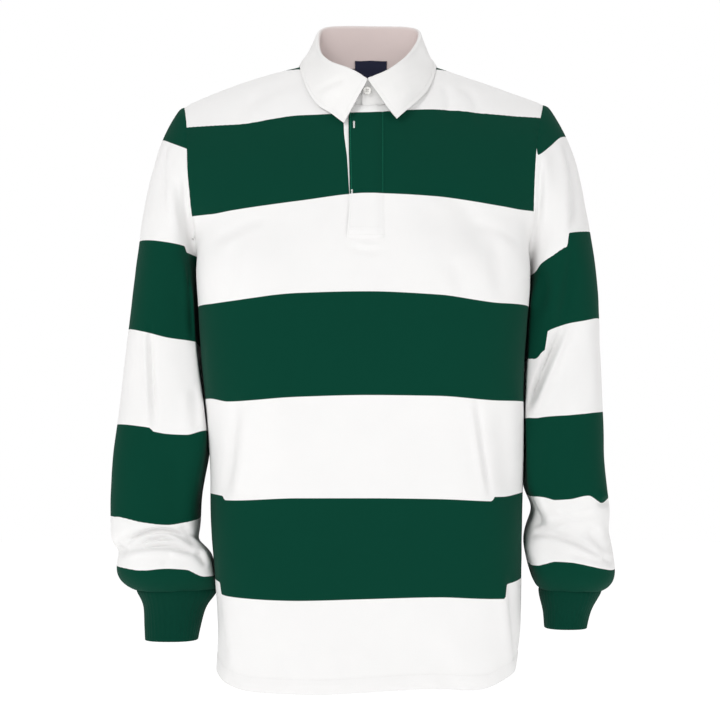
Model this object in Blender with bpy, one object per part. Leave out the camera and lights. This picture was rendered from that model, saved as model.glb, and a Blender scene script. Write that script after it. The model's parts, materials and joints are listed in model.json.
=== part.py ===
"""A long-sleeved rugby shirt, filled out as if worn, with nobody inside.

Metres, +Z up. The front faces -Y and the wearer's right is at -X. The origin lies midway
between the two shoulder-neck points, where the shirt hangs from the wearer's shoulders.

Every piece of cloth is a wall: a grid of points on its outer face, the same grid moved in by
the cloth's thickness, and a rim between them. The front and the back are cut from one body
shape, so their seams meet. The sleeves and the collar start from the panels' own edge points.
"""
import math
from collections import namedtuple

import bmesh
import bpy
from mathutils import Vector

# ---------------------------------------------------------------- cloth
JERSEY = 0.0018            # body and sleeves, heavy cotton jersey
TWILL = 0.0016             # collar
FACING = 0.0011            # under placket
RIB_CLOTH = 0.0016         # cuff, between its ribs
RIB_HEIGHT = 0.0010        # how far a rib stands out
RIBS = 42                  # ribs round a cuff
LABEL = 0.0010
SEAM = 0.0003              # gap between two pieces that are sewn together
LAID_ON = 0.0006           # gap under a piece that lies on a panel

# ---------------------------------------------------------------- body
PANEL_COLUMNS = 28         # cells across a panel
NECK_COLUMNS = 16          # of these, along the neckline
LOW_ROWS = 14              # cells from the hem to the armpit
ARM_ROWS = 12              # cells from the armpit to the shoulder
ARMPIT_Z = -0.270
HEM_SIDE_Z = -0.739
HEM_DIP = {-1: 0.011, 1: 0.014}        # how much lower the hem is in the middle
ROUNDNESS = 2.4                        # 2 is an ellipse, more is squarer
CHEST_CURVE = 1.5                      # how the panels round over to the shoulder line
ARM_FULLNESS = 0.27                    # how much wider the body is than the armhole
ARM_FULL_AT = 0.74                     # height in the armhole where that is reached

# Side seam from the hem to the armpit, then the armhole seam up to the shoulder tip.
Edge = namedtuple("Edge", "z right left")
EDGES = (
    Edge(-0.760, 0.1825, 0.1720),
    Edge(-0.700, 0.1825, 0.1842),
    Edge(-0.650, 0.1845, 0.1862),
    Edge(-0.600, 0.1888, 0.1880),
    Edge(-0.550, 0.1912, 0.1884),
    Edge(-0.480, 0.1912, 0.1886),
    Edge(-0.410, 0.1960, 0.1900),
    Edge(-0.340, 0.2030, 0.1930),
    Edge(-0.270, 0.2060, 0.1960),
    Edge(-0.228, 0.2080, 0.1965),
    Edge(-0.183, 0.2125, 0.1985),
    Edge(-0.140, 0.2172, 0.2012),
    Edge(-0.107, 0.2192, 0.2050),
    Edge(-0.078, 0.2215, 0.2105),
    Edge(-0.045, 0.2300, 0.2205),
)
TIP_X = {-1: 0.2290, 1: 0.2195}        # shoulder tip, wearer's right and left

# How deep the body is in front of and behind the shoulder line.
Depth = namedtuple("Depth", "z front back")
DEPTHS = (
    Depth(-0.760, 0.124, 0.112),
    Depth(-0.600, 0.130, 0.117),
    Depth(-0.450, 0.133, 0.118),
    Depth(-0.300, 0.135, 0.120),
    Depth(-0.150, 0.135, 0.121),
    Depth(0.060, 0.135, 0.121),
)

# Shoulder line, from the middle of the neck out.
Ridge = namedtuple("Ridge", "x right left")
RIDGE = (
    Ridge(0.000, 0.0030, 0.0030),
    Ridge(0.072, 0.0030, 0.0030),
    Ridge(0.098, -0.0040, -0.0045),
    Ridge(0.128, -0.0120, -0.0145),
    Ridge(0.157, -0.0210, -0.0250),
    Ridge(0.187, -0.0330, -0.0372),
    Ridge(0.206, -0.0410, -0.0440),
    Ridge(0.235, -0.0545, -0.0530),
)
# How far below the shoulder line each panel reaches its full depth, and how high the body
# would rise inside the neckline.
Fall = namedtuple("Fall", "middle tip crown")
FALLS = {-1: Fall(0.36, 0.20, 0.027), 1: Fall(0.20, 0.15, 0.055)}
CROWN_REACH = 0.16                     # the crown fades out this far below the neckline
CROWN_SOFTENS = 0.03                   # and its sides round off within this

NECK_X = 0.072                         # shoulder-neck point
NECK_Z = 0.003
NECKLINE_Z = {-1: -0.066, 1: 0.0185}   # middle of the neckline, front and back

# Largest folds of the front and the back: a soft trough along a line on the panel.
Fold = namedtuple("Fold", "face x0 z0 x1 z1 width depth")
BODY_FOLDS = (
    Fold(-1, 0.118, -0.405, 0.138, -0.525, 0.020, 0.0060),
    Fold(-1, -0.143, -0.405, -0.162, -0.520, 0.018, 0.0050),
    Fold(-1, 0.060, -0.185, 0.128, -0.225, 0.022, 0.0050),
    Fold(-1, 0.128, -0.225, 0.146, -0.300, 0.018, 0.0040),
    Fold(-1, 0.166, -0.625, 0.168, -0.730, 0.014, 0.0050),
    Fold(-1, -0.165, -0.665, -0.162, -0.730, 0.014, 0.0040),
    Fold(1, -0.110, -0.330, -0.060, -0.480, 0.026, 0.0060),
    Fold(1, 0.125, -0.300, 0.080, -0.450, 0.024, 0.0055),
    Fold(1, -0.030, -0.560, 0.055, -0.640, 0.026, 0.0050),
    Fold(1, 0.150, -0.560, 0.140, -0.700, 0.020, 0.0050),
    Fold(1, -0.150, -0.600, -0.145, -0.720, 0.020, 0.0045),
)

# ---------------------------------------------------------------- sleeves
# One row for each ring, from the armhole down. The outer side of the ring is lower or higher
# than its inner side; lift raises the ring's front, where the cloth bunches in an arch.
Ring = namedtuple("Ring", "z_out z_in x_out x_in y_front y_back lift")
SLEEVE_RIGHT = (
    Ring(-0.0517, -0.2697, 0.2293, 0.2060, -0.067, 0.070, 0.000),
    Ring(-0.0560, -0.2675, 0.2335, 0.2080, -0.068, 0.071, 0.000),
    Ring(-0.0720, -0.2710, 0.2430, 0.2095, -0.069, 0.072, 0.000),
    Ring(-0.0990, -0.2800, 0.2555, 0.2082, -0.070, 0.073, 0.000),
    Ring(-0.1360, -0.2930, 0.2638, 0.2070, -0.071, 0.073, 0.000),
    Ring(-0.1780, -0.3110, 0.2717, 0.2050, -0.071, 0.072, 0.000),
    Ring(-0.2210, -0.3340, 0.2770, 0.2000, -0.072, 0.070, 0.000),
    Ring(-0.2640, -0.3600, 0.2825, 0.1900, -0.073, 0.066, 0.000),
    Ring(-0.3070, -0.3860, 0.2875, 0.1840, -0.074, 0.061, 0.000),
    Ring(-0.3500, -0.4120, 0.2905, 0.1800, -0.076, 0.055, 0.000),
    Ring(-0.3930, -0.4390, 0.2945, 0.1790, -0.078, 0.049, 0.000),
    Ring(-0.4360, -0.4680, 0.2995, 0.1820, -0.080, 0.043, 0.000),
    Ring(-0.4760, -0.4980, 0.3055, 0.1930, -0.081, 0.037, 0.000),
    Ring(-0.5140, -0.5260, 0.3075, 0.1965, -0.082, 0.032, 0.000),
    Ring(-0.5480, -0.5500, 0.3072, 0.1980, -0.082, 0.028, 0.004),
    Ring(-0.5740, -0.5690, 0.3060, 0.2005, -0.084, 0.026, 0.012),
    Ring(-0.5870, -0.5800, 0.3030, 0.2040, -0.082, 0.024, 0.020),
    Ring(-0.5940, -0.5860, 0.2950, 0.1960, -0.076, 0.020, 0.021),
    Ring(-0.6040, -0.5960, 0.2975, 0.1830, -0.086, 0.022, 0.016),
    Ring(-0.6180, -0.6110, 0.2990, 0.1800, -0.089, 0.021, 0.006),
    Ring(-0.6300, -0.6270, 0.2935, 0.1810, -0.085, 0.016, 0.001),
    Ring(-0.6385, -0.6385, 0.2800, 0.1845, -0.076, 0.008, 0.000),
)
SLEEVE_LEFT = (
    Ring(-0.0476, -0.2697, 0.2198, 0.1960, -0.067, 0.070, 0.000),
    Ring(-0.0530, -0.2675, 0.2245, 0.1980, -0.068, 0.071, 0.000),
    Ring(-0.0710, -0.2710, 0.2360, 0.1995, -0.069, 0.072, 0.000),
    Ring(-0.0980, -0.2800, 0.2500, 0.1982, -0.070, 0.073, 0.000),
    Ring(-0.1350, -0.2930, 0.2600, 0.1970, -0.071, 0.073, 0.000),
    Ring(-0.1770, -0.3110, 0.2668, 0.1950, -0.071, 0.072, 0.000),
    Ring(-0.2200, -0.3340, 0.2735, 0.1900, -0.072, 0.070, 0.000),
    Ring(-0.2630, -0.3600, 0.2785, 0.1810, -0.073, 0.066, 0.000),
    Ring(-0.3060, -0.3860, 0.2808, 0.1770, -0.074, 0.061, 0.000),
    Ring(-0.3490, -0.4120, 0.2804, 0.1755, -0.076, 0.055, 0.000),
    Ring(-0.3920, -0.4390, 0.2823, 0.1750, -0.078, 0.049, 0.000),
    Ring(-0.4350, -0.4680, 0.2835, 0.1765, -0.080, 0.043, 0.000),
    Ring(-0.4750, -0.4970, 0.2843, 0.1810, -0.081, 0.037, 0.000),
    Ring(-0.5110, -0.5230, 0.2862, 0.1860, -0.082, 0.032, 0.000),
    Ring(-0.5400, -0.5410, 0.2905, 0.1945, -0.081, 0.028, -0.003),
    Ring(-0.5570, -0.5560, 0.2906, 0.1900, -0.080, 0.026, -0.005),
    Ring(-0.5700, -0.5690, 0.2872, 0.1875, -0.077, 0.023, -0.003),
    Ring(-0.5850, -0.5840, 0.2905, 0.1865, -0.084, 0.023, 0.002),
    Ring(-0.6010, -0.6000, 0.2917, 0.1890, -0.087, 0.022, 0.004),
    Ring(-0.6170, -0.6150, 0.2932, 0.1925, -0.087, 0.020, 0.002),
    Ring(-0.6300, -0.6280, 0.2908, 0.1960, -0.083, 0.015, 0.000),
    Ring(-0.6385, -0.6385, 0.2800, 0.2030, -0.075, 0.008, 0.000),
)
SEWN_TO_ARMHOLE = (1.0, 0.85, 0.62, 0.38, 0.18, 0.05)  # how far a ring keeps the armhole's shape
SLEEVE_CLEAR = 0.0022      # gap between a sleeve and the side of the body

# Largest folds of the sleeves. turn and width are in degrees: 0 on the outer side, 90 in front,
# 180 on the inner side and 270 behind.
SleeveFold = namedtuple("SleeveFold", "turn0 z0 turn1 z1 width depth")
FOLDS_RIGHT = (
    SleeveFold(52.0, -0.095, 66.0, -0.215, 16.0, 0.0050),
    SleeveFold(112.0, -0.150, 135.0, -0.250, 18.0, 0.0060),
    SleeveFold(70.0, -0.325, 62.0, -0.440, 15.0, 0.0035),
    SleeveFold(300.0, -0.130, 280.0, -0.260, 18.0, 0.0050),
    SleeveFold(255.0, -0.300, 275.0, -0.430, 18.0, 0.0045),
)
FOLDS_LEFT = (
    SleeveFold(48.0, -0.090, 58.0, -0.215, 16.0, 0.0060),
    SleeveFold(105.0, -0.110, 135.0, -0.250, 18.0, 0.0055),
    SleeveFold(62.0, -0.320, 125.0, -0.420, 17.0, 0.0055),
    SleeveFold(300.0, -0.120, 285.0, -0.250, 18.0, 0.0050),
    SleeveFold(285.0, -0.310, 240.0, -0.420, 18.0, 0.0045),
)
FOLD_END = 0.35            # share of a fold's length over which it fades out
FOLD_TIP = 0.35            # how far from nothing a fold still is at its tips
TURN_PER_METRE = 750.0     # degrees of turn that a metre round a sleeve stands for
TURN_STEP = 0.02           # radians of turn over which a ring's direction is read

# ---------------------------------------------------------------- cuffs
CuffRing = namedtuple("CuffRing", "z x_out x_in y_front y_back")
CUFF_RIGHT = (
    CuffRing(-0.6388, 0.2800, 0.1845, -0.076, 0.008),
    CuffRing(-0.6470, 0.2755, 0.1870, -0.074, 0.005),
    CuffRing(-0.6570, 0.2700, 0.1935, -0.071, 0.001),
    CuffRing(-0.6740, 0.2662, 0.1975, -0.068, -0.003),
    CuffRing(-0.6910, 0.2640, 0.2012, -0.067, -0.005),
    CuffRing(-0.6970, 0.2635, 0.2022, -0.067, -0.006),
)
CUFF_LEFT = (
    CuffRing(-0.6388, 0.2800, 0.2030, -0.075, 0.008),
    CuffRing(-0.6470, 0.2765, 0.2052, -0.073, 0.005),
    CuffRing(-0.6560, 0.2722, 0.2075, -0.071, 0.001),
    CuffRing(-0.6650, 0.2660, 0.2096, -0.068, -0.004),
    CuffRing(-0.6770, 0.2606, 0.2102, -0.067, -0.007),
    CuffRing(-0.6830, 0.2592, 0.2106, -0.067, -0.008),
)
CUFF_INNER_COLUMNS = 28

# ---------------------------------------------------------------- collar
# turn runs from the middle of the front, wearer's right, round the back of the neck to the
# middle of the front, wearer's left. roll is the centre of the fold, edge the free edge.
CollarPlace = namedtuple("CollarPlace", "turn roll_x roll_y roll_z edge_x edge_y edge_z")
COLLAR = (
    CollarPlace(0.0000, -0.0008, -0.0725, -0.0360, -0.0290, -0.0850, -0.0876),
    CollarPlace(0.0625, -0.0215, -0.0670, -0.0222, -0.0450, -0.0765, -0.0723),
    CollarPlace(0.1250, -0.0412, -0.0545, -0.0125, -0.0605, -0.0675, -0.0605),
    CollarPlace(0.1875, -0.0540, -0.0325, 0.0010, -0.0755, -0.0440, -0.0340),
    CollarPlace(0.2500, -0.0598, -0.0040, 0.0165, -0.0845, -0.0060, 0.0020),
    CollarPlace(0.3125, -0.0622, 0.0205, 0.0340, -0.0835, 0.0275, -0.0040),
    CollarPlace(0.3750, -0.0585, 0.0415, 0.0540, -0.0705, 0.0485, -0.0010),
    CollarPlace(0.4375, -0.0350, 0.0530, 0.0598, -0.0400, 0.0615, 0.0060),
    CollarPlace(0.5000, 0.0010, 0.0560, 0.0603, 0.0000, 0.0645, 0.0080),
    CollarPlace(0.5625, 0.0385, 0.0530, 0.0595, 0.0420, 0.0615, 0.0060),
    CollarPlace(0.6250, 0.0640, 0.0415, 0.0540, 0.0740, 0.0485, -0.0010),
    CollarPlace(0.6875, 0.0645, 0.0205, 0.0360, 0.0860, 0.0275, -0.0040),
    CollarPlace(0.7500, 0.0575, -0.0040, 0.0180, 0.0860, -0.0050, 0.0015),
    CollarPlace(0.8125, 0.0512, -0.0320, 0.0040, 0.0775, -0.0420, -0.0300),
    CollarPlace(0.8750, 0.0400, -0.0530, -0.0105, 0.0635, -0.0635, -0.0520),
    CollarPlace(0.9375, 0.0215, -0.0665, -0.0258, 0.0470, -0.0780, -0.0690),
    CollarPlace(1.0000, 0.0008, -0.0725, -0.0352, 0.0338, -0.0840, -0.0834),
)
ROLL_RADIUS = 0.0036
FALL_BULGE = 0.0030        # how far the fall bows out between its roll and its edge
COLLAR_SPLIT = 0.0003      # half the gap between the collar's ends at the front
STAND_ROWS = 4             # rows of points up the stand

# ---------------------------------------------------------------- placket, button and label
PLACKET_BOTTOM_Z = -0.2295
PLACKET_TOP_GAP = 0.0020   # how far below the neckline a placket strip ends
PLACKET_ROWS = 9
PLACKET_COLUMNS = 3
PLACKET_RIGHT_X = 0.0188   # stitched edge of the upper placket
Strip = namedtuple("Strip", "z upper_x under_x")  # free edges, on the wearer's right
PLACKET = (
    Strip(-0.2295, -0.0250, -0.0213),
    Strip(-0.1850, -0.0213, -0.0213),
    Strip(-0.1200, -0.0218, -0.0246),
    Strip(-0.0600, -0.0221, -0.0264),
)
UNDER_RIGHT_X = 0.0120

BUTTON_RADIUS = 0.0048
BUTTON_THICKNESS = 0.0024
BUTTON_AT = (-0.0006, -0.0470)         # x and z
BUTTON_SIDES = 20

LABEL_X = (-0.0155, 0.0245)
LABEL_HEIGHT = 0.026
LABEL_BELOW_SEAM = 0.0006
LABEL_CELLS = 4


# ================================================================ small helpers
def smooth(t):
    """Rise from 0 to 1, level at both ends."""
    t = min(max(t, 0.0), 1.0)
    return t * t * (3.0 - 2.0 * t)


def mix(a, b, share):
    return a + (b - a) * share


def power(value, exponent):
    """A power that keeps the sign."""
    return math.copysign(abs(value) ** exponent, value)


def read(table, key, column, at):
    """A table's column as a smooth curve through its rows."""
    keys = [getattr(row, key) for row in table]
    values = [getattr(row, column) for row in table]
    if at <= keys[0]:
        return values[0]
    if at >= keys[-1]:
        return values[-1]
    i = max(k for k in range(len(keys) - 1) if keys[k] <= at)
    step = keys[i + 1] - keys[i]
    slopes = [curve_slope(keys, values, k) for k in (i, i + 1)]
    t = (at - keys[i]) / step
    rise = t * t * (3.0 - 2.0 * t)
    return (
        mix(values[i], values[i + 1], rise)
        + step * slopes[0] * t * (1.0 - t) ** 2
        - step * slopes[1] * t * t * (1.0 - t)
    )


def curve_slope(keys, values, k):
    a = max(k - 1, 0)
    b = min(k + 1, len(keys) - 1)
    return (values[b] - values[a]) / (keys[b] - keys[a])


def distance_to_line(u, v, u0, v0, u1, v1):
    """Distance from a line in the plane, and how far along it the nearest point lies."""
    du = u1 - u0
    dv = v1 - v0
    along = ((u - u0) * du + (v - v0) * dv) / (du * du + dv * dv)
    along = min(max(along, 0.0), 1.0)
    return math.hypot(u - u0 - along * du, v - v0 - along * dv), along


# ================================================================ the body's shape
def ridge_z(x):
    """Height of the shoulder line."""
    return read(RIDGE, "x", "right" if x < 0.0 else "left", abs(x))


def crown_z(x, z, face):
    """Height that the body rises to at x: inside the neckline it goes up as the neck does."""
    below = min(max((neckline_z(x, face) - z) / CROWN_SOFTENS, 0.0), 1.0)
    inside = max(1.0 - (x / NECK_X) ** 2, 0.0) ** (1.0 + below)
    fade = smooth(1.0 + (z - NECKLINE_Z[face]) / CROWN_REACH)
    return ridge_z(x) + FALLS[face].crown * inside * fade


def edge_x(z, side):
    return read(EDGES, "z", "right" if side < 0 else "left", z)


def tip_z(side):
    return ridge_z(side * TIP_X[side])


def reach(z, side):
    """Half width of the whole body, which the armhole cuts short above the armpit."""
    height = (z - ARMPIT_Z) / (tip_z(side) - ARMPIT_Z)
    return edge_x(z, side) * (1.0 + ARM_FULLNESS * smooth(height / ARM_FULL_AT))


def body_y(x, z, face):
    """The body's surface: how far it lies in front of or behind the shoulder line."""
    side = -1 if x < 0 else 1
    across = min(abs(x) / reach(z, side), 1.0)
    bow = (1.0 - across ** ROUNDNESS) ** (1.0 / ROUNDNESS)
    fall = FALLS[face]
    reached = mix(fall.middle, fall.tip, min(abs(x) / TIP_X[side], 1.0) ** 2)
    down = min(max((crown_z(x, z, face) - z) / reached, 0.0), 1.0)
    turn = (1.0 - (1.0 - down) ** CHEST_CURVE) ** (1.0 / CHEST_CURVE)
    depth = read(DEPTHS, "z", "front" if face < 0 else "back", z)
    return face * max(depth * bow * turn, SEAM / 2)


def neckline_z(x, face):
    """Height of the neckline at x: round in front, flatter behind."""
    level = math.sqrt(max(1.0 - (x / NECK_X) ** 2, 0.0))
    return mix(NECK_Z, NECKLINE_Z[face], level if face < 0 else level ** 2)


def top_line(c, face):
    """A panel's upper edge: x and z along the shoulder seam and the neckline."""
    side = -1 if c < 0 else 1
    neck_share = NECK_COLUMNS / PANEL_COLUMNS
    if abs(c) >= neck_share:
        along = (abs(c) - neck_share) / (1.0 - neck_share)
        x = side * mix(NECK_X, TIP_X[side], along)
        return x, ridge_z(x)
    x = NECK_X * math.sin(abs(c) / neck_share * math.pi / 2)
    return side * x, neckline_z(x, face)


def low_place(c, row, face):
    """x and z of a panel's point between the hem and the armpit."""
    side = -1 if c < 0 else 1
    up = row / LOW_ROWS
    z = mix(HEM_SIDE_Z, ARMPIT_Z, up) - (1.0 - up) * HEM_DIP[face] * (1.0 - c * c)
    x = reach(z, side) * power(math.sin(abs(c) * math.pi / 2), 2.0 / ROUNDNESS)
    return side * x, z


def arm_place(c, row, face):
    """x and z of a panel's point between the armpit and the shoulder."""
    side = -1 if c < 0 else 1
    v = (row - LOW_ROWS) / ARM_ROWS
    tip = tip_z(side)
    z_edge = mix(ARMPIT_Z, tip, (1.0 - math.cos(math.pi * v)) / 2)
    rise = 1.0 - (1.0 - v) ** 1.5
    z_body = mix(mix(ARMPIT_Z, tip, rise), z_edge, c ** 4)
    to_top = rise ** 1.5
    top_x, top_z = top_line(c, face)
    widest = math.asin((edge_x(z_edge, side) / reach(z_edge, side)) ** (ROUNDNESS / 2))
    x_body = reach(z_edge, side) * math.sin(abs(c) * widest) ** (2.0 / ROUNDNESS)
    x_top = abs(top_x) * edge_x(z_edge, side) / edge_x(tip, side)
    return side * mix(x_body, x_top, to_top), z_body + to_top * (top_z - tip)


def sinking(fold, away, along):
    """How far one fold sinks at a distance from its line: soft across, fading at its ends."""
    fade = smooth(min(along, 1.0 - along) / FOLD_END + FOLD_TIP)
    return fold.depth * fade * math.exp(-((away / fold.width) ** 2))


def body_fold(x, z, face):
    """How far the body's folds sink at a place."""
    sunk = 0.0
    for fold in BODY_FOLDS:
        if fold.face == face:
            away, along = distance_to_line(x, z, fold.x0, fold.z0, fold.x1, fold.z1)
            sunk += sinking(fold, away, along)
    return sunk


def panel_grid(face):
    """Outer points of the front or the back: rows from the hem up, columns from -X to +X."""
    grid = []
    for row in range(LOW_ROWS + ARM_ROWS + 1):
        place = low_place if row <= LOW_ROWS else arm_place
        line = []
        for column in range(PANEL_COLUMNS + 1):
            c = 2.0 * column / PANEL_COLUMNS - 1.0
            x, z = place(c, row, face)
            y = body_y(x, z, face) - face * body_fold(x, z, face) * (1.0 - c ** 8)
            line.append(Vector((x, y, z)))
        grid.append(line)
    return grid


# ================================================================ walls of cloth
def grid_normals(grid, sign, wrap=False):
    """Normal at each point, from the cells round it."""
    rows = len(grid)
    columns = len(grid[0])
    normals = []
    for r in range(rows):
        line = []
        for c in range(columns):
            left = (c - 1) % columns if wrap else max(c - 1, 0)
            right = (c + 1) % columns if wrap else min(c + 1, columns - 1)
            across = grid[r][right] - grid[r][left]
            along = grid[min(r + 1, rows - 1)][c] - grid[max(r - 1, 0)][c]
            line.append((across.cross(along) * sign).normalized())
        normals.append(line)
    return normals


def flatten(normal, axis):
    """The same direction with nothing along one axis."""
    normal[axis] = 0.0
    normal.normalize()


def seam_panel_normals(normals):
    """Keep the two panels' walls apart: at their common seams the cloth lies in one plane."""
    top = len(normals) - 1
    shoulder = (PANEL_COLUMNS - NECK_COLUMNS) // 2
    for row in range(LOW_ROWS + 1):
        flatten(normals[row][0], 1)
        flatten(normals[row][-1], 1)
    for column in range(shoulder + 1):
        flatten(normals[top][column], 1)
        flatten(normals[top][-1 - column], 1)
    return normals


def new_object(name, bm, material):
    bmesh.ops.recalc_face_normals(bm, faces=bm.faces)
    bmesh.ops.triangulate(bm, faces=bm.faces, quad_method="SHORT_EDGE")
    mesh = bpy.data.meshes.new(name)
    bm.to_mesh(mesh)
    bm.free()
    mesh.materials.append(material)
    mesh.shade_smooth()
    piece = bpy.data.objects.new(name, mesh)
    bpy.context.collection.objects.link(piece)
    return piece


def add_band(bm, lower, upper, wrap):
    """Faces between two lines of points."""
    count = len(lower)
    for c in range(count if wrap else count - 1):
        d = (c + 1) % count
        bm.faces.new((lower[c], lower[d], upper[d], upper[c]))


def wall(name, grid, normals, thickness, material, wrap=False):
    """A closed wall: the grid, the same grid moved in, and the rim between them."""
    bm = bmesh.new()
    outer = [[bm.verts.new(p) for p in line] for line in grid]
    inner = [
        [bm.verts.new(p - n * thickness) for p, n in zip(line, ways)]
        for line, ways in zip(grid, normals)
    ]
    for layer in (outer, inner):
        for r in range(len(grid) - 1):
            add_band(bm, layer[r], layer[r + 1], wrap)
    add_band(bm, outer[0], inner[0], wrap)
    add_band(bm, outer[-1], inner[-1], wrap)
    if not wrap:
        for side in (0, -1):
            add_band(bm, [line[side] for line in outer], [line[side] for line in inner], False)
    return new_object(name, bm, material)


def cloth(name, colour, roughness):
    material = bpy.data.materials.new(name)
    material.use_nodes = True
    shader = material.node_tree.nodes["Principled BSDF"]
    shader.inputs["Base Color"].default_value = (*colour, 1.0)
    shader.inputs["Roughness"].default_value = roughness
    return material


# ================================================================ seams
def away_from(points, normals, inside, wrap):
    """At each point of a seam, the way that leads off the panel, level with its cloth."""
    ways = []
    count = len(points)
    for i, (point, normal) in enumerate(zip(points, normals)):
        after = points[(i + 1) % count] if wrap else points[min(i + 1, count - 1)]
        before = points[i - 1] if wrap or i > 0 else points[0]
        way = (after - before).cross(normal).normalized()
        ways.append(way if way.dot(point - inside[i]) > 0.0 else -way)
    return ways


def armhole(panels, side):
    """The armhole seam from the shoulder tip down the front and up the back."""
    column = 0 if side < 0 else -1
    beside = 1 if side < 0 else -2
    top = LOW_ROWS + ARM_ROWS
    points, normals, inside = [], [], []
    stops = [(-1, row) for row in range(top, LOW_ROWS - 1, -1)]
    stops += [(1, row) for row in range(LOW_ROWS + 1, top)]
    for face, row in stops:
        grid, ways = panels[face]
        point = grid[row][column].copy()
        if row in (top, LOW_ROWS):
            point.y = 0.0
        points.append(point)
        normals.append(ways[row][column].copy())
        below = grid[row - 1][column] if row == LOW_ROWS else grid[row][beside]
        inside.append(below)
    return points, normals, away_from(points, normals, inside, wrap=True)


def neckline(panels):
    """The neckline from the middle of the front round by -X and the back to the front."""
    top = LOW_ROWS + ARM_ROWS
    shoulder = (PANEL_COLUMNS - NECK_COLUMNS) // 2
    middle = PANEL_COLUMNS // 2
    stops = [(-1, column) for column in range(middle, shoulder, -1)]
    stops += [(1, column) for column in range(shoulder, PANEL_COLUMNS - shoulder + 1)]
    stops += [(-1, column) for column in range(PANEL_COLUMNS - shoulder - 1, middle - 1, -1)]
    points, normals, inside = [], [], []
    for face, column in stops:
        grid, ways = panels[face]
        point = grid[top][column].copy()
        if column in (shoulder, PANEL_COLUMNS - shoulder):
            point.y = 0.0
        points.append(point)
        normals.append(ways[top][column].copy())
        inside.append(grid[top - 1][column])
    return points, normals, away_from(points, normals, inside, wrap=False)


# ================================================================ sleeves and cuffs
def ring_point(ring, turn, side):
    """A ring's point: turn is 0 on the outer side and a quarter turn in front."""
    x = mix(ring.x_out, ring.x_in, (1.0 - power(math.cos(turn), 2.0 / ROUNDNESS)) / 2)
    z = mix(ring.z_out, ring.z_in, (1.0 - math.cos(turn)) / 2)
    sweep = power(math.sin(turn), 2.0 / ROUNDNESS)
    y = mix(ring.y_front, ring.y_back, (1.0 - sweep) / 2)
    z += ring.lift * max(math.sin(turn), 0.0) ** 2
    return Vector((side * x, y, z))


def body_side_x(y, z, side):
    """Half width of the body at a depth, below the armpit."""
    depth = read(DEPTHS, "z", "front" if y < 0 else "back", z)
    share = min(abs(y) / depth, 1.0)
    return reach(z, side) * (1.0 - share ** ROUNDNESS) ** (1.0 / ROUNDNESS)


def keep_clear(point, side):
    """Press a sleeve's point flat against the side of the body, just clear of it."""
    if point.z < ARMPIT_Z:
        least = body_side_x(point.y, point.z, side) + SLEEVE_CLEAR
        point.x = side * max(abs(point.x), least)
    return point


def sleeve_fold(turn, z, folds):
    """How far a sleeve's folds sink at a turn and a height."""
    sunk = 0.0
    for fold in folds:
        begin = (fold.turn0, fold.z0 * TURN_PER_METRE)
        end = (fold.turn1, fold.z1 * TURN_PER_METRE)
        away, along = distance_to_line(math.degrees(turn), z * TURN_PER_METRE, *begin, *end)
        sunk += sinking(fold, away, along)
    return sunk


def sleeve_grid(rings, folds, seam, side):
    """Outer points of a sleeve: rings from the armhole down, columns from its outer side."""
    points, _, ways = seam
    count = len(points)
    grid = [[p + way * SEAM for p, way in zip(points, ways)]]
    for k, ring in enumerate(rings[1:], start=1):
        line = []
        for j in range(count):
            turn = 2.0 * math.pi * j / count
            point = ring_point(ring, turn, side)
            if k < len(SEWN_TO_ARMHOLE):
                point += (points[j] - ring_point(rings[0], turn, side)) * SEWN_TO_ARMHOLE[k]
            middle = Vector((side * (ring.x_out + ring.x_in) / 2, 0.0, point.z))
            middle.y = (ring.y_front + ring.y_back) / 2
            point -= (point - middle).normalized() * sleeve_fold(turn, point.z, folds)
            line.append(keep_clear(point, side) if k > 1 else point)
        grid.append(line)
    return grid


def sleeve(name, rings, folds, panels, side, material):
    seam = armhole(panels, side)
    grid = sleeve_grid(rings, folds, seam, side)
    normals = grid_normals(grid, side, wrap=True)
    normals[0] = seam[1]
    for normal in normals[-1]:
        flatten(normal, 2)
    wall(name, grid, normals, JERSEY, material, wrap=True)


def cuff_line(ring, side, count, rise):
    """A cuff ring's points, moved out level by rise(j)."""
    flat = Ring(ring.z, ring.z, ring.x_out, ring.x_in, ring.y_front, ring.y_back, 0.0)
    line = []
    for j in range(count):
        turn = 2.0 * math.pi * j / count
        ahead = ring_point(flat, turn + TURN_STEP, side) - ring_point(flat, turn - TURN_STEP, side)
        out = Vector((ahead.y, -ahead.x, 0.0)).normalized() * -side
        line.append(ring_point(flat, turn, side) + out * rise(j))
    return line


def cuff(name, rings, side, material):
    """A tube of rib knit: ribs stand out on its outer face, over a plain inner face."""
    bm = bmesh.new()
    ribbed = 2 * RIBS
    outer = []
    inner = []
    for ring in rings:
        line = cuff_line(ring, side, ribbed, lambda j: RIB_HEIGHT * (j % 2))
        outer.append([bm.verts.new(p) for p in line])
        line = cuff_line(ring, side, CUFF_INNER_COLUMNS, lambda j: -RIB_CLOTH)
        inner.append([bm.verts.new(p) for p in line])
    for layer in (outer, inner):
        for r in range(len(rings) - 1):
            add_band(bm, layer[r], layer[r + 1], wrap=True)
    for end in (0, -1):
        add_rim(bm, outer[end], inner[end])
    new_object(name, bm, material)


def add_rim(bm, many, few):
    """Triangles between two rings, one of which has several times the other's points."""
    ratio = len(many) // len(few)
    for i, point in enumerate(few):
        after = few[(i + 1) % len(few)]
        start = i * ratio
        half = (ratio + 1) // 2
        for k in range(ratio):
            near = point if k < half else after
            bm.faces.new((near, many[start + k], many[(start + k + 1) % len(many)]))
        bm.faces.new((point, many[start + half], after))


# ================================================================ collar
def collar_point(turn, kind):
    return Vector([read(COLLAR, "turn", f"{kind}_{axis}", turn) for axis in "xyz"])


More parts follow.
